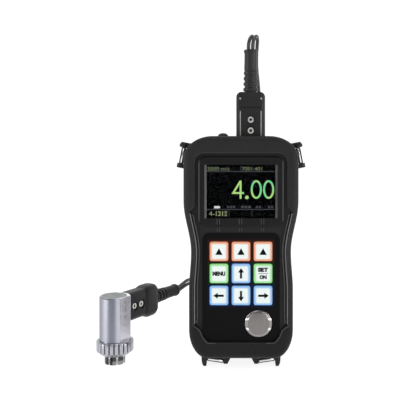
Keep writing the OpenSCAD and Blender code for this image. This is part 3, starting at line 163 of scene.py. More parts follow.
class Finish:
    """A procedural material in object coordinates, which are metres here."""

    def __init__(self, name, color, rough, metal=0.0, specular=0.5):
        self.material = bpy.data.materials.new(name)
        self.material.use_nodes = True
        self.tree = self.material.node_tree
        self.shader = self.tree.nodes["Principled BSDF"]
        self.places = new_node(self.tree, "TexCoord", {}).outputs
        self.color = color
        self.normal = None
        self.put("Base Color", rgba(color))
        self.put("Roughness", rough)
        self.put("Metallic", metal)
        self.put("Specular IOR Level", specular)

    def put(self, name, value):
        feed(self.tree, self.shader.inputs[name], value)

    def xyz(self, kind="Object"):
        new = new_node(self.tree, "SeparateXYZ", {0: self.places[kind]})
        return [Value(self.tree, s) for s in new.outputs]

    def noise(self, size, detail=2.0, stretch=(1, 1, 1), rough=0.5):
        """Noise between 0 and 1 whose spots have about this size, or more where the stretch is under 1."""
        mapping = new_node(self.tree, "Mapping", {"Vector": self.places["Object"], "Scale": stretch})
        inputs = {"Vector": mapping.outputs[0], "Scale": 1 / size, "Detail": detail, "Roughness": rough}
        return Value(self.tree, new_node(self.tree, "TexNoise", inputs).outputs["Fac"])

    def mix(self, fac, a, b):
        return new_node(self.tree, "Mix", {0: fac, 6: rgba(a), 7: rgba(b)}, data_type="RGBA").outputs[2]

    def tint(self, fac, color):
        """Leads the colour so far towards another one."""
        self.color = self.mix(fac, self.color, color)
        self.put("Base Color", self.color)

    def bump(self, height, depth):
        inputs = {"Height": height, "Distance": depth}
        if self.normal is not None:
            inputs["Normal"] = self.normal
        self.normal = new_node(self.tree, "Bump", inputs).outputs[0]
        self.put("Normal", self.normal)

    def painted_edge_highlight(self, radius, share, color):
        """Another colour on edges, which are where the surface turns within this radius: a lighter one there
        is a painted highlight.
        """
        around = new_node(self.tree, "Bevel", {"Radius": radius}, samples=4).outputs[0]
        here = new_node(self.tree, "NewGeometry", {}).outputs["Normal"]
        dot = new_node(self.tree, "VectorMath", {0: around, 1: here}, operation="DOT_PRODUCT")
        self.tint(Value(self.tree, dot.outputs["Value"]).span(0.995, 0.8) * share, color)

    def glow(self, color, strength):
        self.put("Emission Color", rgba(color))
        self.put("Emission Strength", strength)


def plastic(name, color, rough, grain=0.0003, depth=0.00003, light=1.35, **more):
    """Moulded plastic or rubber: a fine grain, uneven gloss and patches of a slightly lighter shade."""
    f = Finish(name, color, rough, **more)
    f.tint(f.noise(0.012, 3).span(0.35, 0.7, 0.0, 0.5), [c * light for c in color])
    f.put("Roughness", f.noise(grain * 6, 3).span(0.3, 0.7, rough - 0.06, rough + 0.07))
    f.bump(f.noise(grain, 2, rough=0.6), depth)
    return f


# Meshes
WELD = 2e-6
FLAT = math.radians(0.6)


def smooth_below(mesh, degrees):
    """Smooth shading, with sharp edges where faces meet at more than this angle."""
    mesh.polygons.foreach_set("use_smooth", [True] * len(mesh.polygons))
    mesh.set_sharp_from_angle(angle=math.radians(degrees))


def raw_mesh(name, points, faces):
    """A mesh in metres from points in millimetres."""
    mesh = bpy.data.meshes.new(name)
    mesh.from_pydata([tuple(c * MM for c in p) for p in points], [], faces)
    mesh.update()
    return mesh


def mesh_of(name, points, faces):
    """The same, with doubled points made one and all faces turned outwards."""
    mesh = raw_mesh(name, points, faces)
    bm = bmesh.new()
    bm.from_mesh(mesh)
    bmesh.ops.remove_doubles(bm, verts=bm.verts, dist=2e-7)
    bmesh.ops.recalc_face_normals(bm, faces=bm.faces)
    bm.to_mesh(mesh)
    bm.free()
    mesh.update()
    return mesh


def piece(name, mesh, finish, body="gauge", node=None, smooth=None):
    """A visible piece on a body, with its finish. It stands for a CAD node, which it hides, where one is
    named.
    """
    if isinstance(mesh, tuple):
        mesh = mesh_of(name, *mesh)
    obj = added(name, mesh)
    mesh.materials.append(finish.material)
    if smooth:
        smooth_below(mesh, smooth)
    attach(obj, body)
    if node:
        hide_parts(node)
    return obj


def evaluated_mesh(obj):
    bpy.context.view_layer.update()
    return bpy.data.meshes.new_from_object(obj.evaluated_get(bpy.context.evaluated_depsgraph_get()))


def clean_copy(node):
    """The CAD node's shape with its flat faces whole again, so that its edges can be rounded."""
    mesh = bpy.data.meshes.new(node)
    bm = bmesh.new()
    bm.from_mesh(NODES[node].data)
    bmesh.ops.remove_doubles(bm, verts=bm.verts, dist=WELD)
    bmesh.ops.dissolve_limit(bm, angle_limit=FLAT, verts=bm.verts, edges=bm.edges)
    bm.to_mesh(mesh)
    bm.free()
    return mesh


def round_edges(obj, radius, segments):
    return give(obj.modifiers.new("rounded", "BEVEL"), width=radius * MM, segments=segments,
                limit_method="ANGLE", angle_limit=math.radians(32), use_clamp_overlap=True)


def dress(node, finish, radius, name=None, segments=2):
    """Stands for a CAD node with the same shape and rounded edges."""
    obj = piece(name or node + "_skin", clean_copy(node), finish, BODY[node], node, smooth=32)
    if radius:
        round_edges(obj, radius, segments).harden_normals = True
    return obj


def paint(node, finish, radius=0, segments=2):
    """Keeps a CAD node, with its finish and, where asked, its edges rounded by modifiers."""
    obj = NODES[node]
    obj.data.materials.clear()
    obj.data.materials.append(finish.material)
    if radius:
        obj.modifiers.new("weld", "WELD").merge_threshold = WELD
        give(obj.modifiers.new("whole_faces", "DECIMATE"), decimate_type="DISSOLVE", angle_limit=FLAT)
        round_edges(obj, radius, segments)


def loft(rings, closed=False):
    """Faces between rings of as many points each, with flat ends unless the last ring meets the first."""
    n = len(rings[0])
    count = len(rings)
    points = [p for ring in rings for p in ring]
    faces = []
    for i in range(count if closed else count - 1):
        a, b = i * n, ((i + 1) % count) * n
        for k in range(n):
            faces.append((a + k, a + (k + 1) % n, b + (k + 1) % n, b + k))
    if not closed:
        faces.append(tuple(range(n))[::-1])
        faces.append(tuple((count - 1) * n + k for k in range(n)))
    return points, faces


def full_turn(steps):
    """Even angles round a circle, in radians."""
    return [2 * math.pi * k / steps for k in range(steps)]


def lathe(profile, sides, at=(0, 0, 0), turn=Matrix.Identity(3)):
    """A turned shape: (radius, height) pairs from one end to the other."""
    return loft([[turn @ Vector((r * math.cos(a), r * math.sin(a), h)) + Vector(at) for a in full_turn(sides)]
                 for r, h in profile])


def tube(points, radii):
    """A round bar along a line of points, with a radius for each."""
    pts = [Vector(p) for p in points]
    rings = []
    side = None
    for i, (p, r) in enumerate(zip(pts, radii)):
        ahead = (pts[min(i + 1, len(pts) - 1)] - pts[max(i - 1, 0)]).normalized()
        if side is None:
            side = ahead.orthogonal().normalized()
        side = (side - ahead * side.dot(ahead)).normalized()
        up = ahead.cross(side)
        rings.append([p + r * (math.cos(a) * side + math.sin(a) * up) for a in full_turn(28)])
    return loft(rings)


def joined(*shapes):
    points, faces = [], []
    for p, f in shapes:
        base = len(points)
        points += [tuple(v) for v in p]
        faces += [tuple(i + base for i in face) for face in f]
    return points, faces


def placed(shape, matrix):
    return [matrix @ Vector(p) for p in shape[0]], shape[1]


def mirrored(shape):
    return [(-x, y, z) for x, y, z in shape[0]], shape[1]


def twins(shape):
    """A shape and its mirror image on the gauge's other side."""
    return joined(shape, mirrored(shape))


def rounded(x, z, w, h, r, steps=8):
    """A rounded rectangle in X and Z, anticlockwise."""
    out = []
    for sx, sz, start in ((1, 1, 0), (-1, 1, 90), (-1, -1, 180), (1, -1, 270)):
        for k in range(steps + 1):
            a = start + 90 * k / steps
            out.append((x + sx * (w / 2 - r) + r * cosd(a), z + sz * (h / 2 - r) + r * sind(a)))
    return out


def heading(line, k):
    """The direction of a line of points at one of them."""
    return (Vector(line[min(k + 1, len(line) - 1)]) - Vector(line[max(k - 1, 0)])).normalized()


# Finishes of rubber and plastic
RUBBER = plastic("boot_rubber", (0.0125, 0.0127, 0.0132), 0.58, 0.0004, 0.0001, specular=0.2)
# The boot is painted darker towards its lower part, as painted shade
RUBBER.tint(RUBBER.xyz()[2].span(0.045, 0.085, 0.75, 0.0, smooth=True), (0.0045, 0.0047, 0.0052))
# Lighter edges of the boot: painted highlights
RUBBER.painted_edge_highlight(0.0009, 0.8, (0.11, 0.11, 0.112))
# The lip bead is a lighter grey than the boot, as a painted highlight along the lip
BEAD = plastic("boot_lip", (0.045, 0.045, 0.046), 0.45, 0.0004, 0.00005, specular=0.3)
CASING = plastic("casing_plastic", (0.0095, 0.0095, 0.01), 0.42, specular=0.2)
# Lighter edges of the casing: painted highlights
CASING.painted_edge_highlight(0.0004, 0.6, (0.09, 0.092, 0.096))
BEZEL = plastic("bezel_plastic", (0.0065, 0.0067, 0.007), 0.34, 0.0005, 0.00001, specular=0.14)
# Lighter edges of the frame: painted highlights
BEZEL.painted_edge_highlight(0.0004, 0.4, (0.09, 0.09, 0.095))
# Two upright painted highlights on the frame's sides, which fade out at their ends
bezel_x, _, bezel_z = BEZEL.xyz()
flank_highlight = (bezel_x.abs() - 0.0314).abs().span(0.0002, 0.0005, 1.0, 0.0, smooth=True)
flank_highlight = flank_highlight * (bezel_z - 0.1345).abs().span(0.021, 0.0245, 1.0, 0.0, smooth=True)
BEZEL.tint(flank_highlight * 0.52, (0.13, 0.13, 0.132))
# The window's side slopes are painted a lighter grey than the frame, as a painted highlight that is dimmer on
# the right side
WINDOW_SIDE_HIGHLIGHT = plastic("window_edge_highlight", (0.038, 0.038, 0.04), 0.35, 0.0004, 0.00001, specular=0.3)
WINDOW_SIDE_HIGHLIGHT.tint(WINDOW_SIDE_HIGHLIGHT.xyz()[0].span(-0.01, 0.01), (0.016, 0.016, 0.018))
# The casing's ribs are painted lighter than the casing, as painted highlights: brighter on the outer rib,
# dimmer on the inner one
RIB_BRIGHT = plastic("casing_rib_bright", (0.15, 0.15, 0.152), 0.35, depth=0.00002, specular=0.35)
RIB_DIM = plastic("casing_rib_dim", (0.055, 0.055, 0.056), 0.38, depth=0.00002, specular=0.3)
# The raised marks are painted lighter than the plastic round them, as painted highlights
MARK = plastic("raised_mark", (0.05, 0.05, 0.052), 0.4, depth=0.00002, specular=0.3)
LUG = plastic("lug_plastic", (0.01, 0.01, 0.011), 0.4, specular=0.25)
# Lighter edges of the lugs: painted highlights
LUG.painted_edge_highlight(0.0004, 0.5, (0.08, 0.08, 0.085))
CAP = plastic("cap_rubber", (0.014, 0.014, 0.015), 0.5, depth=0.00004, specular=0.25)
PLUG = plastic("plug_plastic", (0.0165, 0.0165, 0.019), 0.42, 0.00025, 0.00004, specular=0.28)
# Lighter edges of the plugs: painted highlights
PLUG.painted_edge_highlight(0.0005, 0.5, (0.11, 0.11, 0.12))
# The gauge's plug has painted highlights on two ridges and two corner marks, and painted shade in a groove
# under its cap
SHELL = plastic("plug_front_plastic", (0.011, 0.011, 0.012), 0.4, 0.00025, specular=0.25)
# Lighter edges of the plug's front shell: painted highlights
SHELL.painted_edge_highlight(0.0005, 0.4, (0.06, 0.06, 0.065))
shell_x, shell_y, shell_z = SHELL.xyz()
beside_axis = (shell_x - 0.0075).abs()
outer = shell_y.span(-0.0059, -0.0057, 1.0, 0.0)
ridge = (beside_axis - 0.008).abs().span(0.00025, 0.0005, 1.0, 0.0, smooth=True)
ridge = ridge * shell_z.span(0.1945, 0.1952, 1.0, 0.0, smooth=True) * outer
spot = distance(beside_axis - 0.0081, shell_z - 0.2044)
spot = spot.span(0.0004, 0.0009, 1.0, 0.0, smooth=True) * outer
groove = (shell_z - 0.1975).abs().span(0.0002, 0.0005, 1.0, 0.0)
groove = groove * beside_axis.span(0.0079, 0.0081, 1.0, 0.0) * outer
SHELL.tint(groove, (0.003, 0.003, 0.003))
SHELL.tint((ridge + spot).min(1.0) * SHELL.noise(0.0008, 2).span(0.3, 0.6, 0.6, 1.0), (0.42, 0.42, 0.43))
SHELL.bump(ridge - groove, 0.0003)
RELIEF = plastic("relief_rubber", (0.013, 0.013, 0.0145), 0.4, specular=0.3)
CABLE = plastic("cable_jacket", (0.035, 0.036, 0.039), 0.34, 0.0005, 0.00002, specular=0.4)
TIE = plastic("tie_plastic", (0.02, 0.02, 0.02), 0.45)
SEAL = plastic("seal_rubber", (0.12, 0.12, 0.12), 0.6)
TRAY = plastic("tray_plastic", (0.05, 0.05, 0.055), 0.5)
SILICONE = plastic("mat_silicone", (0.5, 0.5, 0.5), 0.5, 0.0004, light=1.1)
GREEN = plastic("solder_resist", (0.02, 0.12, 0.05), 0.35, 0.0005, 0.00001)
DELAY = plastic("delay_plastic", (0.74, 0.72, 0.66), 0.3, 0.0006, 0.00001, light=1.1)
CORK = plastic("barrier_cork", (0.2, 0.12, 0.06), 0.8, 0.0004, 0.0001)
CERAMIC = plastic("element_ceramic", (0.6, 0.52, 0.36), 0.5, depth=0.00002, light=1.1)
CELL = plastic("cell_jacket", (0.06, 0.2, 0.1), 0.3, 0.0006, 0.00001)
CELL.tint(CELL.xyz()[2].span(0.074, 0.0741), (0.5, 0.5, 0.5))


# Finishes of metal
def metal(name, color, rough, grain=0.0003, depth=0.00001, drift=0.8, **more):
    """Metal with a fine grain, uneven gloss and slightly duller patches."""
    f = Finish(name, color, rough, metal=1.0, **more)
    f.tint(f.noise(0.008, 3).span(0.35, 0.7, 0.0, 0.6), [c * drift for c in color])
    f.put("Roughness", f.noise(grain * 8, 3).span(0.3, 0.7, max(rough - 0.06, 0.02), rough + 0.08))
    f.bump(f.noise(grain, 2, rough=0.6), depth)
    return f


STEEL = metal("screw_steel", (0.6, 0.6, 0.61), 0.3)
NICKEL = metal("connector_nickel", (0.66, 0.65, 0.62), 0.28)
GOLD = metal("contact_gold", (0.75, 0.55, 0.24), 0.25)
# The rings' wire has a painted reflection: bright in the middle and painted dark where its surface turns
# sideways, up or down
CHROME = metal("ring_chrome", (0.8, 0.8, 0.8), 0.16, depth=0.000003, drift=0.93, specular=0.0)
turned_x, _, turned_z = CHROME.xyz("Normal")
turned = turned_x.abs().max(turned_z.abs()).span(0.28, 0.44, smooth=True)
CHROME.tint(turned, (0.012, 0.012, 0.013))
CHROME.put("Metallic", turned * -0.95 + 1.0)

# The upright axis of the probe, in millimetres
PROBE_X, PROBE_Y = -97.8, -2


def from_probe(f):
    """Distances from the probe's axis, and the height, in metres."""
    x, y, z = f.xyz()
    return x - PROBE_X * MM, y - PROBE_Y * MM, z


# The probe's body has painted reflections: upright stripes of painted light and shade, a darker left side and
# one facet painted bright
BLASTED = metal("probe_aluminium", (0.5, 0.51, 0.575), 0.38, grain=0.00022, depth=0.00003, drift=0.92)
body_x, body_y, _ = from_probe(BLASTED)
around = body_x.atan2(body_y * -1) * 6 + math.radians(102)
BLASTED.tint(around.sin().span(-1.0, 1.0, 0.0, 0.9, smooth=True), (0.2, 0.207, 0.25))
BLASTED.tint(around.span(math.radians(-192), math.radians(-48), 0.8, 0.0), (0.3, 0.305, 0.34))
BLASTED.tint(around.span(math.radians(279), math.radians(287), smooth=True), (0.93, 0.92, 1.0))
# Lighter edges of the probe's body: painted highlights
BLASTED.painted_edge_highlight(0.0004, 0.6, (0.8, 0.8, 0.84))
DISC = metal("probe_disc_aluminium", (0.26, 0.29, 0.28), 0.45, depth=0.00002)
# The knurled ring is painted darker in its flutes, as painted shade
KNURL = metal("knurl_aluminium", (0.45, 0.455, 0.5), 0.3)
ring_x, ring_y, ring_z = from_probe(KNURL)
deep = distance(ring_x, ring_y).span(0.0134, 0.01405, 1.0, 0.0)
deep = deep * ring_z.span(0.0092, 0.0099) * ring_z.span(0.0172, 0.0174, 1.0, 0.0)
KNURL.tint(deep, (0.14, 0.14, 0.165))
# Lighter edges of the knurled ring: painted highlights
KNURL.painted_edge_highlight(0.0003, 0.5, (0.75, 0.75, 0.77))
# The nose has a patch painted lighter as a painted highlight, a dark band in front as a painted reflection,
# and bright slits at its foot
NOSE = metal("nose_chrome", (0.065, 0.065, 0.07), 0.16, depth=0.000004)
nose_x, nose_y, nose_z = from_probe(NOSE)
patch = nose_z.span(0.0022, 0.0034, 0.85, 0.0, smooth=True) * nose_x.span(-0.0022, -0.0002)
NOSE.tint(patch, (0.3, 0.3, 0.31))
NOSE.tint((nose_x + 0.0022).abs().span(0.0005, 0.003, 0.9, 0.0, smooth=True), (0.006, 0.006, 0.007))
slits = (nose_x.atan2(nose_y * -1) * 8 + math.radians(-90)).sin().span(0.78, 0.9, 0.0, 0.95, smooth=True)
NOSE.tint(slits * nose_z.span(0.0055, 0.006, 1.0, 0.0), (0.9, 0.9, 0.88))
# The calibration disc is brushed upright, and its rim has four painted glints as painted highlights
RIM = metal("calibration_rim", (0.3, 0.29, 0.285), 0.16, depth=0.000003, drift=0.85)
painted_glints = ((RIM.xyz()[2] - 0.0348).abs() - 0.0037).abs().span(0.0003, 0.0012, 0.9, 0.0, smooth=True)
RIM.tint(painted_glints, (0.97, 0.97, 0.96))
COIN = metal("calibration_steel", (0.2, 0.188, 0.182), 0.36, depth=0.000004, drift=0.9)
brush = COIN.noise(0.0002, 3, stretch=(1, 1, 0.04))
COIN.tint(brush.span(0.3, 0.7, 0.0, 0.35), (0.32, 0.305, 0.295))
COIN.bump(brush, 0.000012)

# The glass over the display, and the dark face of the display with its fine grid
GLASS = Finish("display_glass", (0.9, 0.92, 0.92), 0.0, specular=0.05)
GLASS.put("Transmission Weight", 1.0)
GLASS.put("IOR", 1.04)
GLASS.tint(GLASS.noise(0.02, 3).span(0.3, 0.7, 0.0, 0.5), (0.8, 0.84, 0.85))
GLASS.bump(GLASS.noise(0.008, 2), 0.000002)
GRID = 12000
LCD = Finish("display_face", (0.0026, 0.0028, 0.0032), 0.5, specular=0.02)
LCD.tint(LCD.noise(0.006, 3).span(0.3, 0.7, 0.0, 0.6), (0.0038, 0.0042, 0.0052))
lcd_x, _, lcd_z = LCD.xyz()
grid = (lcd_x * GRID).sin().abs().min((lcd_z * GRID).sin().abs())
LCD.put("Roughness", grid.span(0.0, 0.3, 0.6, 0.4))

# Sizes of the gauge's front, as in the source of the part, in millimetres
BOOT_H, BOOT_W = 167, 86.6
FOOT = 8.5
WALL, EDGE_R, INSET = 3.2, 5, 3.4
WAIST_W, HIP_W = BOOT_W * 0.8684, BOOT_W * 0.903
TOP_W, TOP_H = BOOT_W * 0.254, BOOT_H * 0.1018
BOTTOM_W, BOTTOM_H = BOOT_W * 0.1628, BOOT_H * 0.1287
SHOULDER, WAIST, HIP = BOOT_H * 0.7096, BOOT_H * 0.476, BOOT_H * 0.3084
RIM_SIDE, RIM_TOP, RIM_BOTTOM = BOOT_W * 0.1005, BOOT_H * 0.0772, BOOT_H * 0.0772
STEP_H, STEP_RISE = BOOT_H * 0.6557, BOOT_H * 0.0317
RIM_R = 6.8
FRONT, BACK = -23.0, 23.0
FACE = FRONT + WALL + 0.2
PANEL_LOW = FOOT + RIM_BOTTOM + 0.4
COLUMN, ROW = BOOT_W * 0.1905, BOOT_H * 0.0988
UPPER_ROW = PANEL_LOW + BOOT_H * 0.403
KEY_W, KEY_H = BOOT_W * 0.1594, BOOT_H * 0.0862
DISC_X, DISC_Z = BOOT_W * 0.1513, PANEL_LOW + BOOT_H * 0.0778
BEZEL_W, BEZEL_H = BOOT_W * 0.746, BOOT_H * 0.3126
BEZEL_Z = FOOT + BOOT_H * 0.5964 + BEZEL_H / 2
WINDOW_W, WINDOW_H = BOOT_W * 0.6132, BOOT_H * 0.2383
WINDOW_Z = BEZEL_Z - 0.2


def key_place(f):
    """The nearest key's column and row as whole numbers, and the distances from its middle in millimetres."""
    x, _, z = f.xyz()
    column = (x * (1000 / COLUMN)).round().max(-1).min(1)
    row = ((z * -1000 + UPPER_ROW) / ROW).round().max(0).min(2)
    dx = (x * 1000 - column * COLUMN).abs()
    dz = (z * 1000 - UPPER_ROW + row * ROW).abs()
    return column, row, dx, dz


def key_color(f, column, row, orange, green, blue):
    """Orange in the upper row, green at the ends of the middle row and blue elsewhere."""
    is_blue = row.span(1.4, 1.6).max(row.span(0.4, 0.6) * column.abs().span(0.6, 0.4))
    warm = f.mix(row.span(0.4, 0.6), orange, green)
    return f.mix(is_blue, warm, blue)


KEY = Finish("lit_key", (0.8, 0.86, 0.84), 0.38, specular=0.35)
column, row, dx, dz = key_place(KEY)
BORDER = 2.6
border = distance((dx - (KEY_W / 2 - BORDER)).max(0), (dz - (KEY_H / 2 - BORDER)).max(0))
border = border.span(0.2, 1.9, smooth=True)
edge_color = key_color(KEY, column, row, (0.68, 0.28, 0.16), (0.24, 0.6, 0.22), (0.2, 0.4, 0.7))
KEY.color = KEY.mix(border, (0.66, 0.72, 0.7), edge_color)
KEY.tint(KEY.noise(0.003, 3).span(0.3, 0.7, 0.0, 0.08), (0.52, 0.57, 0.55))
KEY.bump(KEY.noise(0.0003, 2), 0.00001)
KEY.glow(KEY.color, 0.22)

PANEL = Finish("keypad_film", (0.0028, 0.003, 0.0036), 0.4, specular=0.07)
column, row, dx, dz = key_place(PANEL)
away = distance((dx - KEY_W / 2).max(0), (dz - KEY_H / 2).max(0))
# A coloured halo round each key is painted light from the keys' backlight: tinted into the film's colour and
# glowing
halo = away.span(0.0, 2.6, 1.0, 0.0).power(2)
PANEL.tint(PANEL.noise(0.004, 3).span(0.3, 0.7, 0.0, 0.5), (0.0042, 0.0044, 0.005))
halo_color = key_color(PANEL, column, row, (0.055, 0.009, 0.003), (0.003, 0.03, 0.003), (0.002, 0.012, 0.055))
PANEL.tint(halo, halo_color)
PANEL.put("Roughness", PANEL.noise(0.0025, 3).span(0.3, 0.7, 0.36, 0.46))
PANEL.bump(PANEL.noise(0.00035, 2), 0.000012)
PANEL.glow(halo_color, halo * 0.3)

INK = plastic("key_print", (0.004, 0.0045, 0.005), 0.5, depth=0.00001, specular=0.06)


def readout(name, one, other, strength):
    """A part of the display that glows in two mixed colours."""
    f = Finish(name, (0.004, 0.005, 0.004), 0.5, specular=0.02)
    f.glow(f.mix(f.noise(0.004, 2).span(0.3, 0.7), one, other), strength)
    return f


SMALL = readout("readout_small", (0.56, 0.58, 0.26), (0.44, 0.62, 0.36), 0.54)
FAINT = readout("readout_faint", (0.2, 0.18, 0.28), (0.22, 0.23, 0.23), 0.28)
WHITE = readout("readout_white", (0.7, 0.72, 0.7), (0.82, 0.84, 0.8), 0.9)
# The large digits turn from green to yellow across the display, with uneven brightness
DIGITS = Finish("readout", (0.004, 0.005, 0.004), 0.5, specular=0.02)
shade = (DIGITS.noise(0.009, 1) + DIGITS.xyz()[0] * -6 + 0.06).span(0.36, 0.64)
spots = DIGITS.noise(0.0007, 2).span(0.3, 0.7, 0.74, 0.98)
DIGITS.glow(DIGITS.mix(shade, (0.2, 0.82, 0.36), (0.56, 0.88, 0.27)), spots)

# The boot, as one closed skin: its steps in each corner, along the side's two parts and round an edge
ARC, LOW, HIGH, EDGE = 18, 40, 10, 7


def ease(t):
    return (1 - math.cos(math.pi * t)) / 2


def side_half(h):
    if h >= SHOULDER:
        return BOOT_W / 2
    if h >= WAIST:
        return WAIST_W / 2 + (BOOT_W - WAIST_W) / 2 * ease((h - WAIST) / (SHOULDER - WAIST))
    if h >= HIP:
        return HIP_W / 2 + (WAIST_W - HIP_W) / 2 * ease((h - HIP) / (WAIST - HIP))
    return HIP_W / 2


def corner(x, h, rw, rh, start):
    """A quarter of an oval, from this angle on."""
    turns = [start + 90 * k / ARC for k in range(ARC + 1)]
    return [(x + rw * cosd(a), h + rh * sind(a)) for a in turns]


HEIGHTS = ([BOTTOM_H + (STEP_H - BOTTOM_H) * k / LOW for k in range(1, LOW + 1)]
           + [STEP_H + (BOOT_H - TOP_H - STEP_H) * k / (HIGH + 1) for k in range(1, HIGH + 1)])


def outline_side(inset):
    return (corner(HIP_W / 2 - BOTTOM_W, BOTTOM_H, BOTTOM_W - inset, BOTTOM_H - inset, -90)
            + [(side_half(h) - inset, h) for h in HEIGHTS]
            + corner(BOOT_W / 2 - TOP_W, BOOT_H - TOP_H, TOP_W - inset, TOP_H - inset, 0))


# The opening's lower edge rises from the middle to the side like a cup
CUP_RISE = BOOT_H * 0.0796
CUP_TOP = RIM_BOTTOM + CUP_RISE
CUP_HALF = BOOT_W * 0.6697 / 2
CUP_SHARES = ((0.82, 0), (0.969, 0.29), (1.052, 0.69), (1.169, 0.9))
CUP = [(CUP_HALF * w, RIM_BOTTOM + CUP_RISE * h) for w, h in CUP_SHARES]
CUP.append((side_half(CUP_TOP) - INSET, CUP_TOP))


def on_cup(t):
    """A smooth line through the cup's five points."""
    u = t * (len(CUP) - 1)
    i = min(int(u), len(CUP) - 2)
    u -= i
    p = [Vector(CUP[max(0, min(len(CUP) - 1, j))]) for j in (i - 1, i, i + 1, i + 2)]
    if i == 0:
        p[0] = p[2] - Vector((9, 0))
    v = 0.5 * (2 * p[1] + (p[2] - p[0]) * u + (2 * p[0] - 5 * p[1] + 4 * p[2] - p[3]) * u * u
               + (3 * p[1] - p[0] - 3 * p[2] + p[3]) * u ** 3)
    return v.x, v.y


ON_CUP = ARC + 1 + sum(h < CUP_TOP + 0.8 for h in HEIGHTS)


def opening_side(out):
    """The edge of the front opening, moved outwards by one number for each point."""
    line = [on_cup(k / (ON_CUP - 1)) for k in range(ON_CUP)]
    line += [(side_half(h) - INSET, h) for h in HEIGHTS[ON_CUP - ARC - 1:LOW]]
    low, high = STEP_H + STEP_RISE, BOOT_H - RIM_TOP - RIM_R
    line += [(BOOT_W / 2 - RIM_SIDE, low + (high - low) * k / HIGH) for k in range(HIGH)]
    line += corner(BOOT_W / 2 - RIM_SIDE - RIM_R, high, RIM_R, RIM_R, 0)
    moved = []
    for k, (x, h) in enumerate(line):
        t = heading(line, k)
        moved.append((x + out[k] * t.y, h - out[k] * t.x))
    return moved


HALF = 2 * (ARC + 1) + LOW + HIGH
LIMIT = math.degrees(math.acos(1 - WALL / EDGE_R))
FULL_TO = ARC * 0.55


def edge_end(k):
    """How far the round front edge turns at a point: less along the sides, where the wall is thin."""
    if k < FULL_TO or k > ARC + LOW + 1:
        return 90
    if k < ARC:
        return 90 + (LIMIT - 90) * ease((k - FULL_TO) / (ARC - FULL_TO))
    return LIMIT if k <= ARC + LOW else (LIMIT + 90) / 2


def ring_of(side, depths):
    """A whole ring from the points of its right side and a depth for each."""
    right = [(x, y, h + FOOT) for (x, h), y in zip(side, depths)]
    return right + [(-x, y, z) for x, y, z in reversed(right)]


def front_ring(share):
    points, depths = [], []
    for k in range(HALF):
        a = edge_end(k) * share
        points.append(outline_side(EDGE_R * (1 - cosd(a)))[k])
        depths.append(FRONT + EDGE_R * (1 - sind(a)))
    return ring_of(points, depths)


LIP = [FRONT + EDGE_R * (1 - sind(edge_end(k))) for k in range(HALF)]
LIP_R = [0.12 if LIMIT + 1 > edge_end(k) else 0.6 for k in range(HALF)]


def lip_ring(share):
    a = 90 * share
    return ring_of(opening_side([r * (1 - sind(a)) for r in LIP_R]),
                   [y + r * (1 - cosd(a)) for y, r in zip(LIP, LIP_R)])


DOOR_W, DOOR_H, TRAY_Z = 49.8, 72.0, 58.0


def window_side(out):
    w, h, r = DOOR_W / 2 + 0.8 + out, DOOR_H / 2 + 0.8 + out, 5 + out
    mid = TRAY_Z - FOOT
    n = len(HEIGHTS)
    return (corner(w - r, mid - h + r, r, r, -90)
            + [(w, mid + 2 * (h - r) * ((k + 1) / (n + 1) - 0.5)) for k in range(n)]
            + corner(w - r, mid + h - r, r, r, 0))


def flat_ring(side, y):
    return ring_of(side, [y] * HALF)


boot_rings = [flat_ring(window_side(0), BACK - 0.7), flat_ring(window_side(0.2), BACK - 0.2),
              flat_ring(window_side(0.7), BACK)]
boot_rings += [flat_ring(outline_side(EDGE_R * (1 - cosd(a))), BACK - EDGE_R * (1 - sind(a)))
               for a in (90 * k / EDGE for k in range(EDGE, -1, -1))]
boot_rings += [front_ring(k / EDGE) for k in range(EDGE + 1)]
boot_rings += [lip_ring(k / 3) for k in range(4)]
boot_rings += [flat_ring(opening_side([0] * HALF), FRONT + WALL), flat_ring(outline_side(WALL), FRONT + WALL),
               flat_ring(outline_side(WALL), BACK - WALL), flat_ring(window_side(0), BACK - WALL)]
boot = piece("boot_skin", loft(boot_rings, closed=True), RUBBER, node="protective_boot", smooth=30)


def cut(obj, name, points, faces):
    """Takes a shape out of a piece."""
    tool = added(name, mesh_of(name, points, faces))
    mod = give(obj.modifiers.new(name, "BOOLEAN"), operation="DIFFERENCE", solver="EXACT", object=tool)
    made = evaluated_mesh(obj)
    obj.modifiers.remove(mod)
    old = obj.data
    obj.data = made
    bpy.data.meshes.remove(old)
    bpy.data.objects.remove(tool)


# Where the lead's plug and the port's cap stand in the boot's top
PLUG_X, PLUG_Z, PLUG_LEN, PLUG_W, PLUG_T = 7.5, 173.2, 36.3, 22.4, 12
PORT_X = -14
TOP_CUT = (165, 180)
plug_hole = rounded(PLUG_X, 0, PLUG_W + 1.2, PLUG_T + 1.2, 3.8)
cut(boot, "plug_opening", *loft([[(x, y, z) for x, y in plug_hole] for z in TOP_CUT]))
cut(boot, "port_opening", *lathe([(4.3, z) for z in TOP_CUT], 48, (PORT_X, 0, 0)))
smooth_below(boot.data, 30)

# Casing, display frame and calibration disc
dress("front_casing", CASING, 0.5, segments=3)
dress("rear_casing", CASING, 0.3)
dress("battery_door", CASING, 0.5, segments=3)
dress("display_window", GLASS, 0)


def frame_ring(x, z, w, h, r, y):
    return [(px, y, pz) for px, pz in rounded(x, z, w, h, r, 10)]


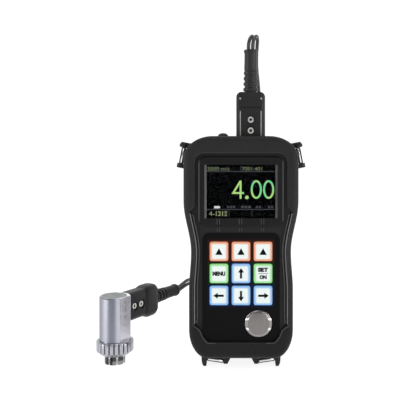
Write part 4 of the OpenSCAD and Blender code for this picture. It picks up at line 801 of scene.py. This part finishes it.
# The frame's outline with its round edge, then steps in to the window and back under the frame
BEZEL_R, BEZEL_EDGE, BEZEL_RISE = 6, 1.1, 1.3
WINDOW_STEPS = ((1.9, 2.0, 1.6, 2.4), (1.5, 1.6, 1.4, 2.4), (1.2, 1.3, 1.2, 2.3), (-1.6, 0, 0.6, 1.3),
                (-1.6, 0, 0.6, 1.15), (4.2, 4.2, 1, 1.15), (4.2, 4.2, 1, 0))
bezel_rings = [frame_ring(0, BEZEL_Z, BEZEL_W, BEZEL_H, BEZEL_R, y) for y in (FACE, FACE - BEZEL_RISE)]
for a in range(15, 91, 15):
    less = BEZEL_EDGE * (1 - cosd(a))
    bezel_rings.append(frame_ring(0, BEZEL_Z, BEZEL_W - 2 * less, BEZEL_H - 2 * less, BEZEL_R - less,
                                  FACE - BEZEL_RISE - BEZEL_EDGE * sind(a)))
bezel_rings.append(frame_ring(0, BEZEL_Z, BEZEL_W - 2.7, BEZEL_H - 2.7, 4.7, FACE - 2.4))
bezel_rings += [frame_ring(0, WINDOW_Z, WINDOW_W + w, WINDOW_H + h, r, FACE - rise)
                for w, h, r, rise in WINDOW_STEPS]
bezel = piece("bezel_skin", loft(bezel_rings, closed=True), BEZEL, node="display_bezel", smooth=30)
# The window's side slopes take the finish with the painted highlight
bezel.data.materials.append(WINDOW_SIDE_HIGHLIGHT.material)
for p in bezel.data.polygons:
    c = p.center / MM
    if abs(p.normal.x) > 0.45 and abs(abs(c.x) - WINDOW_W / 2) < 0.75 and c.y < FACE - 1.4:
        p.material_index = 1

dress("keypad_panel", PANEL, 0.2)
# The calibration disc has a flat face and a round shoulder down to its rim
COIN_R = 8.1
disc_y = [v.co.y / MM for v in NODES["calibration_disc"].data.vertices]
disc_front, disc_deep = min(disc_y), max(disc_y) - min(disc_y)
towards_back = Matrix.Rotation(math.radians(-90), 3, "X")
profile = [(0.2, 0), (COIN_R, 0)]
profile += [(8.2 + 2.2 * sind(a) ** 0.8, 0.1 + 1.1 * (1 - cosd(a))) for a in (5, 15, 27, 39, 51, 63, 75, 90)]
profile += [(10.4, disc_deep - 0.2), (10.2, disc_deep), (0.2, disc_deep)]
disc = piece("calibration_coin", lathe(profile, 96, (DISC_X, disc_front, DISC_Z), towards_back), COIN,
             node="calibration_disc", smooth=50)
disc.data.materials.append(RIM.material)
for p in disc.data.polygons:
    if math.hypot(p.center.x / MM - DISC_X, p.center.z / MM - DISC_Z) > COIN_R + 0.05:
        p.material_index = 1


# Raised lines and marks on the casing, the frame and the boot's lip
def rib(path, half, top, base=FACE + 0.1):
    """A raised line, round at the top."""
    section = [(-half * cosd(a), top + half * (1 - sind(a))) for a in range(0, 181, 22)]
    section = [(-half, base)] + section + [(half, base)]
    rings = []
    for k, (x, h) in enumerate(path):
        t = heading(path, k)
        rings.append([(x + u * t.y, y, h + FOOT - u * t.x) for u, y in section])
    return loft(rings)


# The ribs' lighter finishes are painted highlights
for name, inward, half, top, finish in (("outer", 0.85, 0.5, FACE - 2.3, RIB_BRIGHT),
                                        ("inner", 2.9, 0.45, FACE - 1.5, RIB_DIM)):
    route = opening_side([-inward] * HALF)[ON_CUP - 3:ARC + LOW + 1]
    piece("casing_rib_" + name, twins(rib(route, half, top)), finish, smooth=50)
# The bead along the boot's lip carries a painted highlight in its lighter finish
route = [(19, RIM_BOTTOM - 0.5), (21, RIM_BOTTOM - 0.5)] + opening_side([0.5] * HALF)[:ON_CUP - 1]
bead = twins(rib(route, 0.42, FRONT - 0.12, FRONT + 0.8))
piece("boot_lip_bead", bead, BEAD, smooth=50)


def bar(x, z0, z1, half, base, top):
    """A small raised bar with sloping sides."""
    return loft([[(x - half, base, z0), (x + half, base, z0), (x + half, base, z1), (x - half, base, z1)],
                 [(x - half * 0.5, top, z0 + 0.2), (x + half * 0.5, top, z0 + 0.2),
                  (x + half * 0.5, top, z1 - 0.2), (x - half * 0.5, top, z1 - 0.2)]])


def paired_bars(z0, z1, base, top):
    """Two upright bars at each of three columns."""
    return joined(*[bar(x + s * 0.95, z0, z1, 0.28, base, top) for x in (-16.9, -0.4, 16.1) for s in (-1, 1)])


# The marks' lighter finish is a painted highlight
marks = paired_bars(109.4, 113.8, FACE - 2.35, FACE - 2.55)
piece("bezel_marks", marks, MARK)
marks = paired_bars(103.7, 106.6, FACE + 0.05, FACE - 0.25)
piece("casing_marks", marks, MARK)

# The keys: each one's column and row, its cap and its print
KEYS = {"soft_key_left": (-1, 0), "soft_key_middle": (0, 0), "soft_key_right": (1, 0), "menu_key": (-1, 1),
        "up_key": (0, 1), "power_key": (1, 1), "left_key": (-1, 2), "down_key": (0, 2), "right_key": (1, 2)}
KEY_FRONT = FACE - 0.7 - 1.2
PRINT_Y = KEY_FRONT - 0.03
BOLD = 0.07


def key_cap(x, z):
    """A key with a wider foot behind the panel and a softly pillowed face."""
    rings = [frame_ring(x, z, KEY_W + 1, KEY_H + 1, 1.8, y) for y in (FACE + 1.2, FACE + 0.1)]
    rings += [frame_ring(x, z, KEY_W, KEY_H, 1.5, y) for y in (FACE + 0.1, KEY_FRONT + 0.75)]
    for a in range(18, 91, 18):
        less = 1.3 * (1 - cosd(a))
        y = KEY_FRONT + 0.75 - 0.65 * sind(a)
        rings.append(frame_ring(x, z, KEY_W - less, KEY_H - less, 1.5 - less / 4, y))
    for less, y in ((2.2, 0.07), (4, 0.04), (7, 0.012), (10, 0.0)):
        rings.append(frame_ring(x, z, KEY_W - less, KEY_H - less, max(1.5 - less / 5, 0.4), KEY_FRONT + y))
    return loft(rings)


def slab(points):
    """A flat printed shape in X and Z with a thickness."""
    return loft([[(x, y, z) for x, z in points] for y in (PRINT_Y, PRINT_Y + 0.1)])


def arrow(x, z, turn):
    line = [(0, 4.2), (2.2, 0.9), (0.8, 0.9), (0.8, -3.6), (-0.8, -3.6), (-0.8, 0.9), (-2.2, 0.9)]
    return [(x + px * cosd(turn) - pz * sind(turn), z + px * sind(turn) + pz * cosd(turn)) for px, pz in line]


def lettering(text, x, z, width, height, y, bold):
    """Generic words and figures in Blender's own font, as points and faces in X and Z."""
    curve = give(bpy.data.curves.new("words", "FONT"), body=text, align_x="CENTER", offset=bold,
                 resolution_u=3)
    temp = added("words", curve)
    mesh = evaluated_mesh(temp)
    across = [v.co.x for v in mesh.vertices]
    up = [v.co.y for v in mesh.vertices]
    left, right, low, high = min(across), max(across), min(up), max(up)
    points = [(x + (px - (left + right) / 2) * width / (right - left), y,
               z + (pz - (low + high) / 2) * height / (high - low)) for px, pz in zip(across, up)]
    faces = [tuple(p.vertices) for p in mesh.polygons]
    bpy.data.objects.remove(temp)
    bpy.data.curves.remove(curve)
    bpy.data.meshes.remove(mesh)
    return points, faces


def key_print(name, x, z):
    """An arrow, generic words or, on the soft keys, a triangle."""
    turns = {"up_key": 0, "down_key": 180, "left_key": 90, "right_key": -90}
    if name in turns:
        return [slab(arrow(x, z, turns[name]))]
    if name == "menu_key":
        return [lettering("MENU", x, z, 9.6, 3.3, PRINT_Y, BOLD)]
    if name == "power_key":
        line = [(x - 3.7, z - 0.15), (x + 3.7, z - 0.15), (x + 3.7, z + 0.2), (x - 3.7, z + 0.2)]
        return [lettering("SET", x, z + 2.9, 7.6, 3.3, PRINT_Y, BOLD),
                lettering("ON", x, z - 2.6, 5.4, 3.1, PRINT_Y, BOLD), slab(line)]
    return [slab([(x - 2.75, z - 2.45), (x + 2.75, z - 2.45), (x, z + 2.55)])]


def flat_piece(name, shapes, finish, body="gauge"):
    """Shapes in X and Z whose faces all look to the front."""
    mesh = raw_mesh(name, *joined(*shapes))
    for p in mesh.polygons:
        if p.normal.y > 0:
            p.flip()
    piece(name, mesh, finish, body)


for name, (column, row) in KEYS.items():
    x, z = column * COLUMN, UPPER_ROW - row * ROW
    piece(name + "_cap", key_cap(x, z), KEY, name, name, smooth=40)
    flat_piece(name + "_print", key_print(name, x, z), INK, name)
door_grip = joined(*[bar(2.4 * k, 27.5, 35.5, 0.6, 21.5, 22.1) for k in range(-4, 5)])
piece("door_grip", door_grip, CASING)


# What the display shows
def stroke(points, width, y, closed=False):
    """A line of even width as points and faces."""
    pts = [Vector(p) for p in points]
    n = len(pts)
    out = []
    for i, p in enumerate(pts):
        a = pts[i - 1] if closed or i else p
        b = pts[(i + 1) % n] if closed or i < n - 1 else p
        t1 = (p - a).normalized() if (p - a).length else (b - p).normalized()
        t2 = (b - p).normalized() if (b - p).length else t1
        t = (t1 + t2).normalized()
        m = Vector((-t.y, t.x)) * (width / 2 / max(0.5, t.dot(t1)))
        out += [(p.x + m.x, y, p.y + m.y), (p.x - m.x, y, p.y - m.y)]
    faces = [(2 * i, 2 * i + 1, (2 * i + 3) % (2 * n), (2 * i + 2) % (2 * n))
             for i in range(n if closed else n - 1)]
    return out, faces


SHOW_Y = FACE + 0.06
PHOTO = 400


def at_pixel(px, py):
    """Where a point of the photograph lies on the display, in millimetres."""
    scale = (CAMERA_AWAY / MM + SHOW_Y) / (PHOTO * LENS / SENSOR)
    return (px - PHOTO * (0.5 - SHIFT_X)) * scale, CAMERA_HIGH / MM - (py - PHOTO * (0.5 + SHIFT_Y)) * scale


def lines(pixels, width, closed=False):
    return stroke([at_pixel(*p) for p in pixels], width, SHOW_Y, closed)


def oval(middle, half_w, half_h, width):
    px, py = middle
    return lines([(px + half_w * math.cos(a), py + half_h * math.sin(a)) for a in full_turn(28)], width, True)


def block(columns, rows):
    """A rectangle between two columns and two rows of the photograph."""
    (left, top), (right, low) = at_pixel(columns[0], rows[0]), at_pixel(columns[1], rows[1])
    corners = ((left, top), (right, top), (right, low), (left, low))
    return [(x, SHOW_Y, z) for x, z in corners], [(0, 1, 2, 3)]


def words(text, columns, row, height, bold=0.0):
    """Words between two columns of the photograph, around a row."""
    left, z = at_pixel(columns[0], row)
    right, _ = at_pixel(columns[1], row)
    return lettering(text, (left + right) / 2, z, right - left, height, SHOW_Y, bold)


# Places in the photograph's columns and rows: the large digits, the header, the footer's label and the lines
FOUR_STEM = [(240.6, 180.6), (240.6, 198.8)]
FOUR_HOOK = [(240.4, 181.2), (233.2, 193.0), (244, 193.0)]
ZEROS, POINT = ((256.3, 189.5), (268.6, 189.5)), (246.9, 197.4)
HEADER_ROW, SPEED_COLUMNS, FILE_COLUMNS = 168.8, (207.5, 229.5), (242, 262)
LABEL_ROW, LABEL_COLUMNS = 213.6, (209, 214.6)
LABEL_STROKES = [((215.8, 216.7), (211.3, 216)), ((218, 220.4), (211.3, 212.4)),
                 ((219.5, 220.4), (212.4, 214.8)), ((218, 220.4), (214.8, 216)),
                 ((222, 223.1), (211.3, 216)), ((224.6, 227), (211.3, 212.5)),
                 ((224.6, 227), (213.6, 214.3)), ((224.6, 227), (215, 216))]
RULES = [((207, 274.5), (171.1, 171.9)), ((240.4, 241), (166, 171.1)), ((207, 274.5), (209, 209.8)),
         ((229, 229.5), (209.8, 216.6)), ((251.8, 252.3), (209.8, 216.6))]
STATUS_ROWS = (205.8, 208.2)
STATUS_COLUMNS = [(227, 228.8), (229.6, 232), (232.8, 235), (241, 243.6), (244.4, 247), (247.8, 251),
                  (256, 258), (258.8, 261), (268, 270.2), (271, 273)]
BATTERY = [((214.2, 219.6), (206, 208.4)), ((219.6, 220.2), (206.6, 207.8))]
DIGIT, HEADER_THIN = 1.45, -0.012

digits = [lines(FOUR_STEM, DIGIT), lines(FOUR_HOOK, DIGIT)] + [oval(p, 4.6, 8.4, DIGIT) for p in ZEROS]
flat_piece("readout_digits", digits + [oval(POINT, 0.9, 0.9, 1.4)], DIGITS)
header = [words("5000 m/s", SPEED_COLUMNS, HEADER_ROW, 2.7, HEADER_THIN),
          words("7001:401", FILE_COLUMNS, HEADER_ROW, 2.7, HEADER_THIN),
          words("4-", LABEL_COLUMNS, LABEL_ROW, 3.5)]
flat_piece("readout_header", header + [block(*s) for s in LABEL_STROKES], SMALL)
status = [block(s, STATUS_ROWS) for s in STATUS_COLUMNS]
flat_piece("readout_lines", [block(*s) for s in RULES] + status, FAINT)
flat_piece("battery_icon", [block(*s) for s in BATTERY], WHITE)

# Port cap, strap lugs and rings
CAP_TOP, CAP_R, DOME = FOOT + BOOT_H + 2.3, 4.0, 2.4
profile = [(2.3, 166.2), (2.3, 173.1), (3.7, 173.15), (CAP_R, 173.5), (CAP_R, CAP_TOP - DOME)]
profile += [(CAP_R * cosd(a), CAP_TOP - DOME + DOME * sind(a)) for a in (12, 24, 36, 48, 60, 72, 82)]
profile.append((0.3, CAP_TOP))
piece("port_cap_dome", lathe(profile, 48, (PORT_X, 0, 0)), CAP, "port_cap", "port_cap", smooth=35)


def lug_bosses(matrix, radius, reach):
    """Rounded bosses on the outer side of the larger ears, around the rings' axes."""
    profile = [(0.3, 6.4), (radius - 0.7, 6.4), (radius - 0.2, 6.7), (radius, 7.3)]
    profile += [(radius - less, reach - down) for less, down in ((0, 2), (0.4, 1), (1.2, 0.3), (2.4, 0))]
    profile.append((0.3, reach + 0.1))
    return twins(placed(lathe(profile, 40), matrix))


RING_R, BAR_R, GAP, LEG_PITCH, LEG = 1.4, 1.8, 12.5, 8.9, 4


def wire_ring():
    """The rod with rounded ends, its sleeve and the bow, bent from the same wire, in the lug's frame."""
    half, wide = GAP / 2 + 2.6, LEG_PITCH / 2
    rod = tube([(0, 0, z) for z in (-half, -half + 0.12, -half + 0.5, half - 0.5, half - 0.12, half)],
               [0.9, 1.25, RING_R, RING_R, 1.25, 0.9])
    sleeve = tube([(0, 0, z) for z in (-6.1, -5.9, -5.6, 5.6, 5.9, 6.1)],
                  [RING_R, 1.65, BAR_R, BAR_R, 1.65, RING_R])
    half_turn = [math.pi * k / 22 for k in range(23)]
    bow = [(0, y, -wide) for y in (0, 1.5, 3)]
    bow += [(0, LEG + wide * math.sin(a), -wide * math.cos(a)) for a in half_turn]
    bow += [(0, y, wide) for y in (3, 1.5, 0)]
    return joined(rod, sleeve, tube(bow, [RING_R] * len(bow)))


upper = Matrix.Translation((BOOT_W / 2 + 2.2, 0, FOOT + BOOT_H - 15.2)) @ rotated(-11, "Y")
lower = Matrix.Translation((BOOT_W * 0.2263, FRONT + 15, 4)) @ rotated(82, "Y")
for lugs in ("upper_strap_lugs", "lower_strap_lugs"):
    dress(lugs, LUG, 0.4, segments=3)
for level, matrix, radius, reach in (("upper", upper, 3.9, 10.2), ("lower", lower, 3.8, 10.4)):
    bosses = lug_bosses(matrix, radius, reach)
    piece(level + "_lug_bosses", bosses, LUG, smooth=40)
for level, matrix, turn in (("upper", upper, 3), ("lower", lower, -14)):
    ring = placed(wire_ring(), matrix @ rotated(turn, "Z"))
    for name, shape in ((level + "_right_ring", ring), (level + "_left_ring", mirrored(ring))):
        piece(name + "_wire", shape, CHROME, name, name, smooth=50)

# Plugs and strain reliefs. The probe's plug and lead point this way from the probe's axis
LEAD_TURN, LEAD_Z, PLUG_OUT = 60, 40.3, 10.8
SCREW_RISES = [PLUG_LEN - drop for drop in (21.4, 29.8)]
lead_dir = Vector((cosd(LEAD_TURN), sind(LEAD_TURN), 0))
lead_start = Vector((PROBE_X, PROBE_Y, LEAD_Z))
plug_foot = Vector((PLUG_X, 0, PLUG_Z))
probe_foot = lead_start + PLUG_OUT * lead_dir
plug_at = Matrix.Translation(plug_foot)
probe_at = Matrix.Translation(probe_foot) @ rotated(LEAD_TURN, "Z") @ rotated(90, "Y")


def screw_finish(name, foot, along, across):
    """Steel on a plug's two screws, which stand along it, with painted shade: a dark socket and a dark rim on
    each.
    """
    f = metal(name, (0.8, 0.78, 0.74), 0.22)
    x, y, z = f.xyz()
    near = None
    for rise in SCREW_RISES:
        px, py, pz = (foot + rise * along) * MM
        away = distance((x - px) * across.x + (y - py) * across.y, z - pz)
        near = away if near is None else near.min(away)
    f.tint(near.span(0.0009, 0.0013, 0.96, 0.0, smooth=True), (0.01, 0.01, 0.01))
    f.tint(near.span(0.0021, 0.0026, 0.0, 0.97, smooth=True), (0.008, 0.008, 0.008))
    return f


gauge_steel = screw_finish("gauge_plug_screw_steel", plug_foot, Vector((0, 0, 1)), Vector((1, 0, 0)))
probe_steel = screw_finish("probe_plug_screw_steel", probe_foot, lead_dir, lead_dir)
for n, shell, steel in (("gauge", SHELL, gauge_steel), ("probe", PLUG, probe_steel)):
    paint(n + "_plug_front_shell", shell, 0.5, 3)
    paint(n + "_plug_rear_shell", PLUG, 0.5, 3)
    paint(n + "_plug_contacts", GOLD)
    paint(n + "_plug_screws", steel, 0.15)

RELIEF_RIBS, RIB_PITCH, RIB_LONG, CORE_R = 4, 17 / 4, 2.64, 4.7


def relief_profile():
    """Radii and heights of the sleeve: ribs that get smaller, a neck and a collar."""
    out = [(3.4, -5.5), (4.6, -5.4), (4.6, 0.35)]
    for i in range(RELIEF_RIBS):
        z = i * RIB_PITCH + (RIB_PITCH - RIB_LONG) / 2
        big = 5.75 - 0.13 * i
        out.append((CORE_R, z))
        for less, up in ((0.4, 0.02), (0.1, 0.25), (0, 0.6), (0, 2.0), (0.1, 2.4), (0.4, 2.62)):
            out.append((big - less, z + up))
        out.append((CORE_R, z + RIB_LONG))
    out += [(CORE_R, 16.7), (4.95, 16.95), (5.03, 17.4), (4.75, 29.9), (4.85, 30.3), (5.2, 30.6),
            (5.25, 31.2), (5.25, 32.2), (5.1, 32.9), (4.6, 33.1), (4.0, 33.1), (3.9, 32.3), (0.4, 32.2)]
    return out


# The thicker end of the probe's plug: how far along it, and how wide, thick and round there
HOOD = [(19.6, 22.5, 12.1, 3.2), (20.4, 22.9, 12.5, 3.4), (22, 24.3, 13.1, 3.8), (23.6, 25.4, 13.5, 4.2),
        (25.6, 26, 13.6, 4.4), (31.5, 26, 13.6, 4.4), (33.6, 25.5, 13.3, 4.5), (35.3, 24, 12.6, 4.5),
        (36.4, 21.8, 11.4, 4.4), (36.9, 18.4, 9.8, 4.2)]
HOOD_LEAN = 0.35 / 3.6
hood = loft([[(x, y, along) for x, y in rounded(HOOD_LEAN * (w - PLUG_W), 0, w, t, r, 10)]
             for along, w, t, r in HOOD])
piece("probe_plug_hood", placed(hood, probe_at), PLUG, smooth=50)
for n, matrix in (("gauge", plug_at), ("probe", probe_at)):
    sleeve = placed(lathe(relief_profile(), 64, (0, 0, PLUG_LEN)), matrix)
    piece(n + "_relief_sleeve", sleeve, RELIEF, node=n + "_plug_relief", smooth=40)

# The two cables. The pair's middle goes from the gauge's sleeve down behind the gauge to the coil, and from
# there up to the probe's sleeve. Each place of the rise also has its heading and its roll
DROP = [(x, y, z, 90, 0) for x, y, z in (
    (7.5, 0, 243), (7.5, 0, 246), (8, 0.8, 249.4), (9.2, 3.6, 252.8), (10.8, 8.5, 254.4), (11.5, 13.5, 252.8),
    (11.4, 17.2, 248.6), (11, 19.2, 242), (11, 21, 232), (12.5, 24, 216), (14, 28, 196), (16, 31.5, 172),
    (20, 34, 140), (25, 35, 100), (30, 35.5, 60), (33.5, 36.2, 30), (34.8, 38.5, 16), (35.4, 43, 7.2),
    (35.8, 50, 3.2), (36, 60, 2), (36, 76, 2))]
RISE = [(-17, 126.2, 5.8, 203, 0), (-24.5, 121.8, 9.5, 215, 0), (-30.5, 115.5, 18, 229, 0),
        (-35.5, 107.5, 29, 238, 0), (-40, 99.5, 38, 240, 12), (-44.2, 91.8, 42.6, 240, 45),
        (-48.5, 84.3, 43.2, 240, 75), (-52.4, 77.4, 41.6, 240, 90)]
CABLE_D, PAIR = 2.8, 3.3
RELIEF_LONG = 33.5
lead_exit = lead_start + (PLUG_OUT + PLUG_LEN + RELIEF_LONG) * lead_dir
lead_before = lead_exit + 1.4 * CABLE_D * lead_dir
RISE += [(*lead_before, 240, 90), (*lead_exit, 240, 90)]

# The coil winds inwards, climbs one layer halfway and winds outwards again: its turns in degrees and radii
COIL_Y, COIL_R, COIL_LOW, LAYER, COIL_END, COIL_STEP = 94, 36, 2, 3.3, 1545, 15
CLIMB = (COIL_END / 2 - 90, COIL_END / 2 + 90)
REACH_OUT = COIL_R - 2 * PAIR * (CLIMB[0] - 180) / 360
REACH_IN = REACH_OUT - 2 * PAIR
REACH = [(0, COIL_R), (CLIMB[0] - 180, REACH_OUT), (CLIMB[0], REACH_IN), (CLIMB[1], REACH_IN),
         (CLIMB[1] + 180, REACH_OUT), (COIL_END, COIL_R)]


def coil_point(turn, side):
    """A cable's place in the coil, after so many degrees of its turns."""
    for (a, ra), (b, rb) in zip(REACH, REACH[1:]):
        if a <= turn <= b:
            r = ra + (rb - ra) * (turn - a) / (b - a)
            break
    r += side * PAIR / 2
    z = COIL_LOW + LAYER * ease(min(max((turn - CLIMB[0]) / 180, 0), 1))
    return Vector((r * cosd(turn), COIL_Y + r * sind(turn), z))


def beside(route, side):
    """One cable's line, half a pitch to one side of the pair's middle."""
    out = []
    for x, y, z, turn, roll in route:
        away = Vector((sind(turn) * cosd(roll), -cosd(turn) * cosd(roll), sind(roll)))
        out.append(Vector((x, y, z)) + side * PAIR / 2 * away)
    return out


def cable_line(side):
    coil = [coil_point(t, side) for t in range(0, COIL_END + 1, COIL_STEP)]
    return beside(DROP, side) + coil + beside(RISE, side)


on_lead = ["gauge_plug_contacts", "probe_plug_contacts"]
on_lead += [n + p for n in ("gauge_plug_", "probe_plug_") for p in ("front_shell", "rear_shell", "screws")]
on_lead += ["gauge_relief_sleeve", "probe_relief_sleeve", "probe_plug_hood"]

dress("lead_tie", TIE, 0.12, name="coil_tie")
on_lead.append("coil_tie")

for name, side in (("left", -1), ("right", 1)):
    points = cable_line(side)
    curve = give(bpy.data.curves.new(name + "_cable", "CURVE"), dimensions="3D",
                 bevel_depth=CABLE_D / 2 * MM, bevel_resolution=5, resolution_u=5, use_fill_caps=True)
    spline = curve.splines.new("BEZIER")
    spline.bezier_points.add(len(points) - 1)
    for b, p in zip(spline.bezier_points, points):
        give(b, co=p * MM, handle_left_type="AUTO", handle_right_type="AUTO")
    curve.materials.append(CABLE.material)
    obj = added(name + "_cable", curve)
    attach(obj, "gauge")
    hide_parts(*[f"{name}_cable_{part}" for part in ("drop", "coil", "rise")])

# The probe. The body's lower edge goes down to the knurled ring, without the CAD's gap
BODY_EDGE, RING_TOP = (0.0185, 0.026), 0.0174
probe_body = dress("probe_body", BLASTED, 0.25, segments=3)
for v in probe_body.data.vertices:
    if BODY_EDGE[0] < v.co.z < BODY_EDGE[1]:
        v.co.z = RING_TOP
dress("probe_top_disc", DISC, 0.1)

FLUTES, FLUTE_HALF, FLUTE_DEEP, FLUTED_FROM, RING_OUT = 24, 2.3, 1.1, 13, 14.25
FLUTE_PITCH = 360 / FLUTES


def fluted(r, angle):
    """A radius of the knurled ring, less where one of its flutes cuts the outer part."""
    off = abs((angle * FLUTES / (2 * math.pi)) % 1 - 0.5) * FLUTE_PITCH
    if r > FLUTED_FROM and off < FLUTE_HALF:
        return min(r, RING_OUT - FLUTE_DEEP * (1 - (off / FLUTE_HALF) ** 2))
    return r


profile = [(8.1, 7.1), (10.5, 6.9), (10.8, 7.1), (13.7, 9.6), (14.05, 9.75), (RING_OUT, 10.1),
           (RING_OUT, 17.0), (14.1, 17.4), (13.6, 17.8), (12.2, 17.8), (12.1, 17.5), (12.1, 12.4),
           (8.1, 12.4)]
rings = []
for r, z in profile:
    outline = [(fluted(r, a), a) for a in full_turn(480)]
    rings.append([(out * math.cos(a) + PROBE_X, out * math.sin(a) + PROBE_Y, z) for out, a in outline])
piece("knurled_ring_skin", loft(rings, closed=True), KNURL, BODY["probe_knurled_ring"],
      "probe_knurled_ring", smooth=30)
dress("probe_nose", NOSE, 0.2)

# The pieces inside, and the screws
INSIDE = {"probe_delay_blocks": DELAY, "probe_sound_barrier": CORK, "probe_elements": CERAMIC,
          "probe_sockets": NICKEL, "gauge_sockets": NICKEL, "data_port": NICKEL, "casing_seal": SEAL,
          "lcd_module": LCD, "main_board": GREEN, "key_mat": SILICONE, "battery_tray": TRAY,
          "battery_cells": CELL, "battery_contacts": NICKEL, "casing_screws": STEEL}
for node, finish in INSIDE.items():
    paint(node, finish)
dress("door_screws", STEEL, 0.12)

# A pale floor that rises behind the object, in metres, and the lights
PALE = Finish("pale_floor", (0.3, 0.3, 0.3), 0.9, specular=0.05)
PALE.tint(PALE.noise(0.5, 2).span(0.3, 0.7, 0.0, 0.3), (0.34, 0.34, 0.34))
PALE.glow((1, 1, 1), 0.88)
FLOOR_HALF, FLOOR_DEEP, CURVE_R = 12, 1.0, 0.8
line = [(y, 0) for y in (-FLOOR_HALF, -1, 0, FLOOR_DEEP)]
line += [(FLOOR_DEEP + CURVE_R * sind(a), CURVE_R - CURVE_R * cosd(a)) for a in range(10, 91, 10)]
line += [(FLOOR_DEEP + CURVE_R, z) for z in (2.0, 3.0)]
sweep = bpy.data.meshes.new("pale_floor")
sweep.from_pydata([(x, y, z) for y, z in line for x in (-FLOOR_HALF, FLOOR_HALF)], [],
                  [(2 * i, 2 * i + 1, 2 * i + 3, 2 * i + 2) for i in range(len(line) - 1)])
sweep.materials.append(PALE.material)
sweep.polygons.foreach_set("use_smooth", [True] * len(sweep.polygons))
added("pale_floor", sweep)

lamp("key_light", (-0.25, -0.9, 0.75), (0, 0, 0.1), 0.6, 1.4)
lamp("left_strip", (-0.75, -0.35, 0.25), (0, 0, 0.1), 0.12, 3.0, 0.8)
lamp("right_strip", (0.75, -0.35, 0.25), (0, 0, 0.1), 0.12, 3.4, 0.8)
lamp("front_strip", (0.34, -0.9, 0.2), (-0.098, 0, 0.05), 0.07, 0.7, 0.5)
lamp("top_light", (0.0, 0.1, 1.1), (0, 0, 0.1), 0.7, 3.0)
